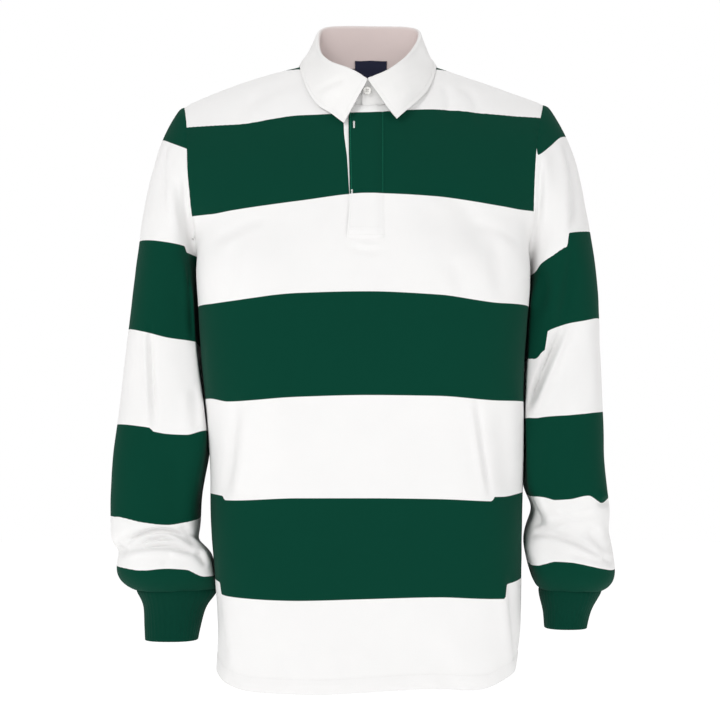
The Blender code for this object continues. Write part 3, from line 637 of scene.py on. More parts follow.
def mark_points(body, sheet, grid):
    """Mark which points lie on a seam, how high above the hem, and which way round a tube."""
    marks = {name: body.verts.layers.float[name] for name in MARKS}
    heights = walked(sheet.rows, 0)
    row_count, column_count = heights.shape
    for r, c in np.ndindex(row_count, column_count):
        turn = 2 * math.pi * c / column_count
        if sheet.is_tube:
            at_seam = r in (0, row_count - 1) or c == column_count // 2
            values = at_seam, 1.0, math.cos(turn), math.sin(turn)
        else:
            values = c in (0, column_count - 1) or r == row_count - 1, heights[r, c], 0.0, 0.0
        for name, value in zip(MARKS, values):
            grid[r][c][marks[name]] = float(value)


def finished_mesh(body, name):
    """Turn an edit mesh into an object of the scene."""
    mesh = bpy.data.meshes.new(name)
    body.to_mesh(mesh)
    body.free()
    piece = bpy.data.objects.new(name, mesh)
    bpy.context.collection.objects.link(piece)
    return piece


def join_sheets(sheets):
    """All the sheets in one mesh, joined where their edges lie a seam's gap apart."""
    body = bmesh.new()
    body.loops.layers.uv.new("UVMap")
    for name in MARKS:
        body.verts.layers.float.new(name)
    for slot, sheet in enumerate(sheets):
        tube = sheet.is_tube
        grid = add_faces(body, sheet.rows, tube, sheet.is_mirrored, turns_back=tube, slot=slot)
        mark_points(body, sheet, grid)
    bmesh.ops.remove_doubles(body, verts=body.verts, dist=SEAM_JOIN)
    piece = finished_mesh(body, "shirt_skin")
    for sheet in sheets:
        piece.data.materials.append(bpy.data.materials.new("sheet_" + sheet.name))
    return piece


def apply_modifier(piece, kind, **settings):
    """Add a modifier with some settings and apply it."""
    only(piece)
    modifier = piece.modifiers.new(kind.title(), kind)
    for name, value in settings.items():
        setattr(modifier, name, value)
    bpy.ops.object.modifier_apply(modifier=modifier.name)


skin = join_sheets(SHEETS)
print("points before subdivision:", len(skin.data.vertices))
apply_modifier(skin, "SUBSURF", levels=FINENESS, render_levels=FINENESS)
print("points after subdivision:", len(skin.data.vertices))

# %% [markdown]
# ## Creases
#
# Cloth that hangs from the shoulders is never smooth. Drag lines run from the armpits, the sleeves
# lap over at the armholes and bunch up above the cuffs. The solids have the largest of these
# folds, and the finer ones are listed here one by one, as one would set them with a sculpting
# brush: each is a curve through three places, with a width, a depth and a side on which the cloth
# swells. The points of the skin move along their normals by a soft trough with a ridge beside it.

# %% Creases seen from the front
Crease = namedtuple("Crease", "x0 z0 x1 z1 x2 z2 width depth swell")
FRONT_CREASES = {
    "body": (
        # lower body: a sharp line and the hollow beside it, and the softer pair on the other side
        (121, -398, 132, -473, 141, -534, 4, 3.2, -1),
        (152, -395, 160, -473, 166, -560, 14, 3.4, 0),
        (-149, -398, -157, -473, -166, -536, 8, 4.4, 1),
        (162, -606, 169, -672, 177, -738, 6, 4.6, -1),
        (-175, -640, -171, -678, -161, -728, 6, 2.6, 1),
        # chest: drag lines to the armpits and soft hollows beside the placket
        (55, -172, 114, -190, 138, -286, 13, 2.2, -1),
        (95, -250, 104, -276, 112, -304, 9, 1.6, -1),
        (142, -205, 149, -250, 152, -310, 10, 2.0, -1),
        (184, -236, 152, -216, 112, -206, 7, 1.3, 1),
        (-184, -236, -150, -214, -108, -202, 7, 1.3, -1),
        (-160, -232, -157, -262, -162, -312, 8, 1.5, 1),
        (-24, -234, -3, -243, 20, -239, 4, 1.5, 1),
        (-12, -226, 3, -232, 16, -230, 3, 0.8, 1),
        (58, -290, 53, -360, 47, -430, 13, 1.3, 1),
        (-70, -300, -82, -372, -80, -450, 15, 1.2, -1),
        # shoulders
        (90, -26, 97, -52, 96, -86, 6, 1.4, 1),
        (116, -30, 130, -56, 134, -92, 7, 1.5, -1),
        (-66, -22, -110, -38, -158, -72, 9, 1.4, -1),
        (-100, -18, -134, -46, -150, -92, 8, 1.2, 1),
        # hem
        (-98, -690, -94, -716, -96, -745, 10, 1.5, 1),
        (-18, -696, -20, -720, -16, -747, 12, 1.2, -1),
        (82, -684, 88, -714, 86, -746, 11, 1.6, 1),
    ),
    "right": (
        # wearer's right sleeve, from the shoulder to the bunch
        (-240, -100, -245, -144, -234, -220, 4, 2.0, 1),
        (-230, -148, -223, -180, -216, -234, 4.5, 1.7, -1),
        (-219, -140, -213, -192, -203, -244, 5, 5.0, 1),
        (-212, -240, -209, -294, -205, -358, 4, 2.4, -1),
        (-257, -318, -254, -384, -248, -462, 3.4, 5.2, -1),
        (-205, -396, -202, -426, -199, -460, 6, 2.6, -1),
        (-232, -470, -224, -512, -234, -552, 10, 1.6, 1),
        # three folds that fan out from a notch in its outer side, and what crosses them
        (-288, -586, -246, -566, -206, -580, 3.0, 5.2, -1),
        (-282, -588, -246, -575, -220, -578, 2.6, 4.6, -1),
        (-294, -595, -240, -584, -190, -597, 3.4, 5.0, -1),
        (-300, -586, -291, -588, -279, -591, 4, 4.0, 0),
        (-219, -560, -209, -572, -199, -586, 4.5, 3.0, 1),
        (-199, -588, -192, -598, -184, -608, 5, 5.0, 1),
        (-225, -587, -231, -597, -239, -608, 5, 1.8, 1),
    ),
    "left": (
        # wearer's left sleeve, from the shoulder to the bunch
        (236, -88, 247, -158, 239, -226, 6, 4.8, -1),
        (241, -216, 236, -282, 223, -332, 6, 2.6, -1),
        (207, -112, 203, -168, 197, -238, 4.5, 3.4, 1),
        (199, -252, 209, -282, 196, -318, 6, 3.8, 1),
        (234, -316, 208, -376, 184, -434, 4.4, 9.0, 1),
        (262, -340, 256, -390, 258, -436, 9, 1.3, -1),
        (214, -446, 206, -492, 212, -534, 9, 1.8, -1),
        # a deep pocket on its inner side, long folds across and a V on its outer side
        (184, -520, 193, -546, 208, -569, 8, 9.0, 1),
        (200, -563, 216, -564, 236, -553, 5, 3.6, 1),
        (182, -575, 226, -573, 286, -606, 4, 3.8, -1),
        (232, -591, 254, -597, 280, -606, 3.6, 1.8, -1),
        (210, -540, 246, -550, 284, -540, 4, 1.4, 1),
        (256, -562, 268, -577, 281, -593, 6, 3.0, 1),
        (266, -533, 277, -534, 289, -529, 4.5, 4.0, 1),
        (272, -597, 280, -601, 288, -606, 4, 2.4, 0),
    ),
}
print("creases on the front:", {where: len(rows) for where, rows in FRONT_CREASES.items()})

# %% Creases on the hidden sides
SLEEVE_SHIFT = (3.0, 8.0)
SLEEVE_FADE = 0.85


def behind(row):
    """A sleeve's crease carried round to its back, a little higher and shallower."""
    *line, width, depth, swell = row
    line = (place + shift for place, shift in zip(line, 3 * SLEEVE_SHIFT))
    return *line, width, SLEEVE_FADE * depth, swell


BACK_CREASES = {
    "body": (
        (-184, -232, -140, -206, -84, -196, 9, 2.2, -1),
        (184, -232, 146, -200, 90, -188, 9, 2.0, 1),
        (-178, -262, -136, -252, -98, -262, 8, 1.5, -1),
        (180, -258, 142, -246, 108, -252, 8, 1.4, 1),
        (-66, -28, -112, -44, -160, -82, 9, 1.3, 1),
        (70, -26, 108, -46, 158, -84, 9, 1.2, -1),
        (-122, -300, -128, -390, -142, -520, 9, 2.2, 1),
        (112, -320, 126, -420, 146, -560, 8, 2.4, -1),
        (-40, -260, -46, -360, -38, -470, 16, 1.6, 1),
        (40, -300, 52, -420, 46, -540, 14, 1.5, -1),
        (-150, -560, -140, -640, -148, -730, 10, 2.4, 1),
        (-60, -600, -54, -668, -58, -744, 13, 1.8, -1),
        (62, -590, 56, -664, 64, -744, 12, 1.9, 1),
        (158, -600, 148, -660, 154, -736, 8, 2.2, -1),
    ),
    "right": [behind(row) for row in FRONT_CREASES["right"]],
    "left": [behind(row) for row in FRONT_CREASES["left"]],
}
print("creases on the back:", {where: len(rows) for where, rows in BACK_CREASES.items()})

# %% Push the creases into the skin
CREASE_STEPS = 16
CREASE_REACH = 4.0
END_FADE = 0.3
SWELL = 0.6
RIDGE_AT, RIDGE_WIDTH = 1.7, 1.3
TURNED = (0.1, 0.5)


def crease_curve(crease):
    """The crease's line: a parabola through its three places, in metres."""
    ends = np.array([[crease.x0, crease.z0], [crease.x2, crease.z2]]) * MM
    middle = np.array([crease.x1, crease.z1]) * MM
    bend = 2.0 * middle - ends.mean(axis=0)
    t = np.linspace(0.0, 1.0, CREASE_STEPS + 1)[:, None]
    return (1 - t) ** 2 * ends[0] + 2 * t * (1 - t) * bend + t ** 2 * ends[1]


def beside(points, curve):
    """Each point's distance to a curve, with its side as the sign, and its place along it."""
    starts, runs = curve[:-1], np.diff(curve, axis=0)
    lengths = np.linalg.norm(runs, axis=1)
    offsets = points[:, None, :] - starts[None]
    along = np.clip((offsets * runs).sum(axis=2) / lengths ** 2, 0.0, 1.0)
    gaps = np.linalg.norm(offsets - along[..., None] * runs, axis=2)
    nearest = gaps.argmin(axis=1)
    pick = np.arange(len(points)), nearest
    side = runs[nearest, 0] * offsets[pick][:, 1] - runs[nearest, 1] * offsets[pick][:, 0]
    place = (nearest + along[pick]) / CREASE_STEPS
    return np.copysign(gaps[pick], side), place


def crease_lift(points, crease):
    """How far a crease lifts points of the (x, z) plane: a trough, and a ridge on one side."""
    width = crease.width * MM
    away, place = beside(points, crease_curve(crease))
    s = away / width
    ridge = np.exp(-((s - RIDGE_AT * crease.swell) / RIDGE_WIDTH) ** 2)
    shape = SWELL * abs(crease.swell) * ridge - np.exp(-s ** 2)
    ends = smooth_step(0.0, END_FADE, place) * smooth_step(0.0, END_FADE, 1.0 - place)
    return crease.depth * MM * shape * ends


def point_values(mesh, name):
    """One number for each point, as an array."""
    values = np.empty(len(mesh.vertices))
    mesh.attributes[name].data.foreach_get("value", values)
    return values


def read_points(mesh):
    """A mesh's points and their normals as arrays."""
    points = np.empty(len(mesh.vertices) * 3)
    normals = np.empty(len(mesh.vertices) * 3)
    mesh.vertices.foreach_get("co", points)
    mesh.vertex_normals.foreach_get("vector", normals)
    return points.reshape(-1, 3), normals.reshape(-1, 3)


def write_points(mesh, points):
    """Move a mesh's points to new places."""
    mesh.vertices.foreach_set("co", points.ravel())
    mesh.update()


def all_creases(points, facing, parts, creases):
    """The lift that a table of creases gives to the points of each part that face its way."""
    lift = np.zeros(len(points))
    flat = points[:, [0, 2]]
    for where, rows in creases.items():
        share = facing * parts[where]
        for crease in (Crease(*row) for row in rows):
            curve, reach = crease_curve(crease), CREASE_REACH * crease.width * MM
            low, high = curve.min(axis=0) - reach, curve.max(axis=0) + reach
            near = (flat > low).all(axis=1) & (flat < high).all(axis=1) & (share > 0.0)
            lift[near] += crease_lift(flat[near], crease) * share[near]
    return lift


mesh = skin.data
points, normals = read_points(mesh)
on_sleeve = np.hypot(point_values(mesh, "outward"), point_values(mesh, "forward"))
on_sleeve = smooth_step(0.0, 1.0, on_sleeve)
PARTS = {
    "body": 1.0 - on_sleeve,
    "right": on_sleeve * (points[:, 0] < 0),
    "left": on_sleeve * (points[:, 0] > 0),
}
lift = all_creases(points, smooth_step(*TURNED, -normals[:, 1]), PARTS, FRONT_CREASES)
lift += all_creases(points, smooth_step(*TURNED, normals[:, 1]), PARTS, BACK_CREASES)
print("crease lift in mm:", round(lift.min() / MM, 2), "to", round(lift.max() / MM, 2))

# %% Soft unevenness, seams and the hem
BROAD, BROAD_SHARE = 0.080, 1.3
FINE, FINE_SHARE = 0.026, 0.35
FINE_OFFSET = (7.0, 3.0, 1.0)
UNEVEN_BODY = 0.9 * MM
UNEVEN_SLEEVE = 1.3 * MM
SEAM_DEPTH = 0.7 * MM
PUCKER_DEPTH = 0.45 * MM
PUCKER_PITCH, PUCKER_SLANT = 0.011, 0.4
SEAM_NEAR, PUCKER_NEAR = (0.80, 1.0), (0.35, 0.9)
HEM_HEIGHT = 0.017
HEM_TOP = (HEM_HEIGHT - 2 * MM, HEM_HEIGHT + 1 * MM)
HEM_SWELL = 0.6 * MM
HEM_GROOVE, GROOVE_ABOVE, GROOVE_WIDTH = 0.5 * MM, 1.5 * MM, 2.5 * MM


def unevenness(place):
    """A slow, soft noise for one point, about -1 to 1."""
    broad = noise.noise(Vector(place) / BROAD)
    fine = noise.noise(Vector(place) / FINE + Vector(FINE_OFFSET))
    return BROAD_SHARE * broad + FINE_SHARE * fine


wobble = np.array([unevenness(place) for place in points])
lift += wobble * (UNEVEN_BODY + (UNEVEN_SLEEVE - UNEVEN_BODY) * on_sleeve)
seam = point_values(mesh, "seam")
hem = point_values(mesh, "hem")
slanted = points[:, 2] + PUCKER_SLANT * points[:, 0]
pucker = 0.5 + 0.5 * np.sin(2 * math.pi * slanted / PUCKER_PITCH)
lift -= SEAM_DEPTH * smooth_step(*SEAM_NEAR, seam)
lift -= PUCKER_DEPTH * pucker * smooth_step(*PUCKER_NEAR, seam) * (hem > HEM_HEIGHT)
lift += HEM_SWELL * (1.0 - smooth_step(*HEM_TOP, hem))
lift -= HEM_GROOVE * np.exp(-((hem - HEM_HEIGHT - GROOVE_ABOVE) / GROOVE_WIDTH) ** 2)
write_points(mesh, points + normals * lift[:, None])
print("the skin moved by at most", round(abs(lift).max() / MM, 2), "mm")

# %% [markdown]
# ## Hoops
#
# The jersey is knitted in stripes of two yarns, and each sheet is cut so that its hoops lie
# level. On the filled shirt they rise a little towards the middle and step where a fold swallows
# some cloth. The heights of the hoops' edges are real sizes: each row is one edge, and each column
# a place across the shirt. From them every point gets one number that grows by one at each edge,
# and the material paints green where the number's whole part is odd. A number on the points turns
# with the cloth and survives an export, and the edge between the yarns stays sharp.

# %% Where the hoops' edges lie
BODY_X = (-185, -160, -80, 0, 80, 155, 185)
BODY_EDGES = (
    (-8, -8, -8, -8, -8, -8, -8),
    (-84, -84, -74, -73, -66, -70, -71),
    (-196, -193, -183, -174, -177, -187, -190),
    (-304, -302, -293, -291, -295, -304, -304),
    (-413, -417, -412, -410, -411, -416, -416),
    (-528, -530, -527, -527, -528, -531, -527),
    (-636, -640, -643, -641, -639, -642, -638),
    (-760, -760, -760, -760, -760, -760, -760),
)
BACK_EDGES = (-8, -75, -190, -304, -415, -524, -624, -760)
RIGHT_X = (-295, -262, -234, -212, -190)
RIGHT_EDGES = (
    (-86, -91, -105, -115, -124),
    (-228, -231, -235, -239, -246),
    (-328, -334, -341, -344, -347),
    (-446, -449, -454, -455, -450),
    (-551, -557, -560, -557, -553),
    (-609, -612, -610, -611, -620),
    (-700, -700, -700, -700, -700),
)
LEFT_X = (197, 206, 218, 236, 257, 275, 287)
LEFT_EDGES = (
    (-124, -120, -110, -94, -88, -84, -82),
    (-263, -252, -244, -233, -229, -226, -225),
    (-366, -357, -350, -344, -340, -336, -335),
    (-435, -434, -433, -432, -430, -428, -427),
    (-527, -528, -531, -530, -526, -535, -529),
    (-607, -605, -602, -603, -607, -611, -613),
    (-700, -700, -700, -700, -700, -700, -700),
)
Step = namedtuple("Step", "edge x rise")
BODY_STEPS = (Step(5, -166, 4.5), Step(5, 143, 5.0), Step(6, -170, 13.5), Step(6, 158, 16.0))
RIGHT_STEPS = (Step(1, -216.5, 7.0), Step(3, -253, 3.5))
LEFT_STEPS = (Step(1, 237, 16.0), Step(2, 210.5, 20.0))
print("edges on the body:", len(BODY_EDGES), "and steps where folds swallow cloth:",
      len(BODY_STEPS + RIGHT_STEPS + LEFT_STEPS))

# %% Count the hoops
STEP_WIDTH = 3.0 * MM
HOOP = 0.115
ROUND_THE_SIDE = (-0.2, 0.2)


def count_hoops(heights, edges):
    """A number that is 0 at the uppermost edge, 1 at the next, and so on down the cloth."""
    count = np.full(len(heights), -1.0)
    upper = edges[0] + HOOP
    for edge in edges:
        count += np.clip((upper - heights) / (upper - edge), 0.0, 1.0)
        upper = edge
    return count


def smooth_through(x, stations, heights):
    """A smooth curve through a few heights, which overshoots none and is level past its ends."""
    stations, heights = np.array(stations) * MM, np.array(heights) * MM
    rises = np.diff(heights) / np.diff(stations)
    before, after = rises[:-1], rises[1:]
    goes_on = before * after > 0.0
    slopes = np.zeros(len(heights))
    slopes[1:-1][goes_on] = (2 * before * after)[goes_on] / (before + after)[goes_on]
    x = np.clip(x, stations[0], stations[-1])
    i = np.clip(np.searchsorted(stations, x) - 1, 0, len(stations) - 2)
    gap = stations[i + 1] - stations[i]
    t = (x - stations[i]) / gap
    lift = smooth_step(0.0, 1.0, t)
    bend = gap * t * (1 - t) * ((1 - t) * slopes[i] - t * slopes[i + 1])
    return heights[i] * (1 - lift) + heights[i + 1] * lift + bend


def edges_across(x, stations, table, steps):
    """Each edge's height in metres at some places across the shirt.

    A fold that swallows cloth makes the edge step up on its outer side."""
    edges = [smooth_through(x, stations, row) for row in table]
    for step in steps:
        beyond = x * math.copysign(1.0, step.x) - abs(step.x) * MM
        rise = step.rise * MM * smooth_step(-STEP_WIDTH / 2, STEP_WIDTH / 2, beyond)
        edges[step.edge] = edges[step.edge] + rise
    return edges


def body_hoops(points, is_front):
    """The hoop count on the front or on the back."""
    if is_front:
        edges = edges_across(points[:, 0], BODY_X, BODY_EDGES, BODY_STEPS)
    else:
        edges = [np.full(len(points), z * MM) for z in BACK_EDGES]
    return count_hoops(points[:, 2], edges)


def sleeve_hoops(points, outward, forward, stations, table, steps):
    """In front the edges follow the table. Behind they run straight from its first to its last."""
    inner, outer = (0, 1) if stations[0] > 0 else (1, 0)
    turn = smooth_step(*ROUND_THE_SIDE, forward)
    fronts = edges_across(points[:, 0], stations, table, steps)
    ends = edges_across(np.array([stations[0], stations[-1]]) * MM, stations, table, steps)
    edges = []
    for in_front, end in zip(fronts, ends):
        in_back = (end[outer] + end[inner]) / 2 + (end[outer] - end[inner]) / 2 * outward
        edges.append(in_front * turn + in_back * (1 - turn))
    return count_hoops(points[:, 2], edges)


def give_values(mesh, name, values):
    """Store one number for each point under a name."""
    layer = mesh.attributes.get(name) or mesh.attributes.new(name, "FLOAT", "POINT")
    layer.data.foreach_set("value", values)


# %% Cut the skin into its four sheets again
def cut_apart(piece):
    """One object for each material slot, named after its sheet."""
    in_edit_mode(piece, (bpy.ops.mesh.separate, {"type": "MATERIAL"}))
    pieces = {}
    for part in bpy.context.selected_objects:
        name = part.data.materials[part.data.polygons[0].material_index].name.replace("sheet_", "")
        part.name = name + "_cloth"
        part.data.materials.clear()
        pieces[name] = part
    return pieces


cloth = cut_apart(skin)
for name, piece in cloth.items():
    points, _ = read_points(piece.data)
    if name in ("front", "back"):
        hoops = body_hoops(points, name == "front")
    else:
        right = name == "sleeve_right"
        table = (RIGHT_X, RIGHT_EDGES, RIGHT_STEPS) if right else (LEFT_X, LEFT_EDGES, LEFT_STEPS)
        around = [point_values(piece.data, key) for key in ("outward", "forward")]
        hoops = sleeve_hoops(points, *around, *table)
    give_values(piece.data, "hoop", hoops)
    print(piece.name, "has hoops", round(hoops.min(), 2), "to", round(hoops.max(), 2))

# %% [markdown]
# ## Cuffs, collar and strips
#
# A cuff is a tube of rib knit. The wall has its ridges already, so subdividing is enough to round
# them, and one more ring tucks its top inside the sleeve's end. The collar is one band of twill
# that rises from the neck, rolls over and falls. Its fall is let down onto the shoulders, and at
# the back the foot of its stand comes down inside the neck, over the seam. The edge is stitched
# 5 mm in, which leaves a shallow groove. The placket's strips are laid again on the finished
# cloth: each of their points keeps its distance to the cloth below, so they follow every crease
# there. The label hangs inside, in front of the stand's foot, and leans a little forward.

# %% Grids of faces
def grid_piece(name, rows, is_tube=False, is_mirrored=False):
    """A piece of four-sided faces on one grid of points, with a UV map in metres."""
    body = bmesh.new()
    body.loops.layers.uv.new("UVMap")
    add_faces(body, rows, is_tube, is_mirrored)
    return finished_mesh(body, name)


# %% Cuffs
CUFF_WALL = 2.2 * MM
TUCK_RISE = 3.0 * MM
TUCK_DEPTHS = (2.7 * MM, 1.1 * MM)


def tucked(rows):
    """A cuff's rings with its first one drawn in, and one more above it inside the sleeve."""
    top = rows[0]
    inward = top.mean(axis=0) - top
    inward /= np.linalg.norm(inward, axis=1, keepdims=True)
    hidden = top + inward * TUCK_DEPTHS[0] + (0.0, 0.0, TUCK_RISE)
    return np.concatenate([[hidden, top + inward * TUCK_DEPTHS[1]], rows[1:]])


cuffs = {}
for side, hand in HANDS.items():
    cuffs[hand] = grid_piece("cuff_" + hand + "_rib", tucked(cuff_rows[side]), True, side < 0)
    apply_modifier(cuffs[hand], "SUBSURF", levels=2, render_levels=2)
    print(cuffs[hand].name, "has", len(cuffs[hand].data.polygons), "faces")

# %% Let the collar's fall down
FRONT_COLUMNS = 4
FALL_SHARES = (1.0, 0.72, 0.46, 0.24, 0.08)
BEHIND_Y = 0.02
TIP_GAP, SHOULDER_GAP, BACK_GAP = 6.0 * MM, 3.2 * MM, 9.0 * MM


def surface_of(piece):
    """A piece's surface, to be searched for the point nearest to another."""
    points = [v.co for v in piece.data.vertices]
    return BVHTree.FromPolygons(points, [list(f.vertices) for f in piece.data.polygons])


def drop_fall(rows, surfaces):
    """Let the fall's edge down onto the cloth below, and what is above it by less and less."""
    shifts = []
    for c, place in enumerate(rows[-1]):
        ways = [np.array(s.find_nearest(Vector(place))[0]) - place for s in surfaces]
        gap, way = min(((np.linalg.norm(way), way) for way in ways), key=lambda pair: pair[0])
        at_tip = min(c, rows.shape[1] - 1 - c) < FRONT_COLUMNS
        wanted = TIP_GAP if at_tip else SHOULDER_GAP if place[1] < BEHIND_Y else BACK_GAP
        shifts.append(way / gap * max(gap - wanted, 0.0))
    shifts = np.array(shifts)
    padded = np.concatenate([shifts[:1], shifts, shifts[-1:]])
    shifts = (padded[:-2] + 2 * padded[1:-1] + padded[2:]) / 4
    for i, share in enumerate(FALL_SHARES):
        rows[-1 - i] += shifts * share
    return abs(shifts).max()


front_cloth, back_cloth = surface_of(cloth["front"]), surface_of(cloth["back"])
fallen = drop_fall(collar_rows, (front_cloth, back_cloth))
print("the fall is let down by", round(fallen / MM, 1), "mm")

# %% Shape the collar's points and its stand
STAND_ROWS = 4
STAND_DROP = 10.8 * MM
STAND_INWARD = (3.0 * MM, 1.0 * MM)
STAND_DROP_FROM = (0.010, 0.035)
Shift = namedtuple("Shift", "column x y z")
STAND_OVERLAP = (Shift(-1, -7, -0.85, 0), Shift(-2, -3, -0.85, 0), Shift(0, 0, 0.85, 0),
                 Shift(1, 0, 0.85, 0))
TIP_SHIFTS = (Shift(0, -0.4, 0, 1.5), Shift(-1, 1.5, 0, 2.6), Shift(-2, 0.4, 0, 1.2))

for column, *shift in TIP_SHIFTS:
    collar_rows[-1, column] += np.array(shift) * MM
for column, *shift in STAND_OVERLAP:
    collar_rows[:STAND_ROWS, column] += np.array(shift) * MM
foot = collar_rows[0]
at_back = smooth_step(*STAND_DROP_FROM, foot[:, 1])
inward = -foot[:, :2] / np.linalg.norm(foot[:, :2], axis=1, keepdims=True) * at_back[:, None]
for row, reach in enumerate(STAND_INWARD):
    collar_rows[row, :, :2] += inward * reach
foot[:, 2] -= at_back * STAND_DROP
print("the stand's lowest point:", round(float(foot[:, 2].min()), 4))

# %% Collar
COLLAR_STITCH = 5.0 * MM
COLLAR_GROOVE, COLLAR_GROOVE_WIDTH = 0.35 * MM, 1.1 * MM
COLLAR_UNEVEN = 0.8 * MM
# Each row's share of painted shade: the stand's rows on the neck side are mixed towards a warm
# grey that stands in for the shade inside the neck.
INSIDE_SHADE_SHARE = np.array((1, 1, 1, 1, 0.5, 0, 0, 0, 0, 0, 0, 0), float)
COLLAR_CREASES = {
    "collar": (
        (-66, -50, -46, -38, -22, -33, 5, 1.1, -1),
        (-52, -72, -40, -60, -26, -56, 7, 0.7, 1),
        (30, -40, 46, -34, 66, -18, 6, 0.8, 1),
        (66, -46, 54, -58, 40, -62, 7, 0.7, -1),
    ),
}


def edge_gaps(rows):
    """Each point's distance to the grid's last row, or to its ends if they are nearer."""
    across, along = walked(rows, 1), walked(rows, 0)
    to_end = np.minimum(across, across[:, -1:] - across)
    return np.minimum(along[-1:] - along, to_end)


# The inside value is each point's share of that painted shade; the front ends of the collar get
# none.
inside = np.repeat(INSIDE_SHADE_SHARE[:, None], collar_rows.shape[1], axis=1)
inside[:, :FRONT_COLUMNS] = inside[:, -FRONT_COLUMNS:] = 0.0
collar = grid_piece("collar_twill", collar_rows)
give_values(collar.data, "edge_gap", edge_gaps(collar_rows).ravel())
give_values(collar.data, "inside", inside.ravel())
apply_modifier(
    collar, "SUBSURF", levels=3, render_levels=3, boundary_smooth="PRESERVE_CORNERS"
)
points, normals = read_points(collar.data)
facing = smooth_step(*TURNED, -normals[:, 1])
lift = all_creases(points, facing, {"collar": np.ones(len(points))}, COLLAR_CREASES)
gap = point_values(collar.data, "edge_gap")
lift += COLLAR_UNEVEN * np.array([unevenness(place) for place in points])
lift -= COLLAR_GROOVE * np.exp(-((gap - COLLAR_STITCH) / COLLAR_GROOVE_WIDTH) ** 2)
write_points(collar.data, points + normals * lift[:, None])
print("the collar's points moved by at most", round(abs(lift).max() / MM, 2), "mm")

# %% Lay points on the finished cloth
STRIP_STEPS = 6
RAY_START = 0.05
FEATHER = 10.0 * MM
FEATHER_EDGE = 0.12
FLATTEN = 0.55


def finer(rows, steps):
    """A grid with more points between those of another, on straight lines."""
    def along_first(grid):
        t = np.linspace(0, len(grid) - 1, (len(grid) - 1) * steps + 1)
        low = np.minimum(t.astype(int), len(grid) - 2)
        share = (t - low)[:, None, None]
        return grid[low] * (1 - share) + grid[low + 1] * share
    return along_first(along_first(rows).transpose(1, 0, 2)).transpose(1, 0, 2)


def feather(rows):
    """1 on most of a strip, less towards its foot and its +X side, where it is sewn down flat."""
    across, along = walked(rows, 1), walked(rows, 0)
    gap = np.minimum(across[:, -1:] - across, along)
    return FEATHER_EDGE + (1.0 - FEATHER_EDGE) * smooth_step(0.0, FEATHER, gap)


def ahead(surface, point, start=RAY_START):
    """Where a line along Y through a point meets a surface, and the surface's normal there."""
    place, normal, _, _ = surface.ray_cast(point - Vector((0, start, 0)), Vector((0, 1, 0)))
    return place, normal


def laid(rows, surface, lifts):
    """Move points along Y onto a surface, each lifted off it by its own distance."""
    moved = np.empty_like(rows)
    for index in np.ndindex(rows.shape[:2]):
        place, normal = ahead(surface, Vector(rows[index]))
        moved[index] = place + normal * lifts[index]
    return moved


def lay_on(rows, old, new, shares):
    """Move points from one surface to another. Each keeps a share of its distance to it."""
    lifts = np.empty(rows.shape[:2])
    for index in np.ndindex(rows.shape[:2]):
        point = Vector(rows[index])
        lifts[index] = (point - old.find_nearest(point)[0]).length * shares[index] * FLATTEN
    return laid(rows, new, lifts)


def lay_inside(rows, surface, depth):
    """Move points of the neck onto the back, at a depth behind its outer face."""
    return laid(rows, surface, np.full(rows.shape[:2], -depth))


# %% Placket strips and label
UNDER_REACH = 2.4 * MM
UNDER_REACH_FROM = (-0.135, -0.095)
LABEL_DEPTH = JERSEY + 2.0 * MM
LABEL_WIDEN = 1.1
LABEL_SHIFT = (0.0, -3.4 * MM, 3.6 * MM)
LABEL_LEAN, LABEL_REACH = 0.12, 1.2 * MM


def hung_label(rows):
    """The label on the inside of the back, moved up to the stand's foot and leant forward."""
    rows = rows * (LABEL_WIDEN, 1.0, 1.0)
    rows = lay_inside(rows, back_cloth, LABEL_DEPTH) + np.array(LABEL_SHIFT)
    below_top = rows[-1:, :, 2] - rows[..., 2]
    rows[..., 1] = rows[-1:, :, 1] - np.minimum(LABEL_LEAN * below_top, LABEL_REACH)
    return rows


front_wall = surface_of(frame["nodes"]["front"])
strips = {}
for name, rows in strip_rows.items():
    rows = finer(rows, STRIP_STEPS)
    is_label = name == "neck_label"
    shares = np.ones(rows.shape[:2]) if is_label else feather(rows)
    if name == "placket_under":
        rows[:, 0, 0] -= UNDER_REACH * smooth_step(*UNDER_REACH_FROM, rows[:, 0, 2])
    rows = hung_label(rows) if is_label else lay_on(rows, front_wall, front_cloth, shares)
    strip_rows[name] = rows
    strips[name] = grid_piece(name + "_strip", rows)
    thin = strips[name].vertex_groups.new(name="thickness")
    for i, share in enumerate(shares.ravel()):
        thin.add([i], float(share), "REPLACE")
    print(strips[name].name, "has", len(strips[name].data.polygons), "faces")
points, _ = read_points(strips["placket_upper"].data)
give_values(strips["placket_upper"].data, "hoop", body_hoops(points, True))

# %% [markdown]
# ## The half-moon inside the back neck
#
# Inside the back neck a rugby shirt has a half-moon of plain white cotton, which covers the seam
# and carries the label. Only its inside shows, through the neck. Its top follows the neckline of
# the back panel, and its depth shrinks to nothing at both ends like a flattened arc. It is laid
# against the inside of the finished back, with its top behind the stand's foot.
# Its white twill is mixed three quarters of the way to the collar's painted shade, a warm grey
# that stands in for the shade inside the neck.

# %% Half-moon
MOON_HALF = 66.0 * MM
MOON_DROP = 62.0 * MM
MOON_GAP = 2.5 * MM
MOON_DEPTH = JERSEY + 0.8 * MM
MOON_TOP_BACK = 1.0 * MM
MOON_ROWS, MOON_STEPS = 12, 4
MOON_LEAST = 0.02
MOON_SHADE_SHARE = 0.75


def half_moon_rows():
    """Rows up from the arc at the foot to the neckline, from -X to +X."""
    top = finer(back_rows[-2:], MOON_STEPS)[-1]
    top = top[abs(top[:, 0]) < MOON_HALF]
    drop = MOON_DROP * np.sqrt(np.maximum(1.0 - (top[:, 0] / MOON_HALF) ** 2, MOON_LEAST))
    rise = np.linspace(0.0, 1.0, MOON_ROWS)[:, None]
    rows = np.repeat(top[None], MOON_ROWS, axis=0)
    rows[..., 2] += rise * drop - drop - MOON_GAP
    return rows


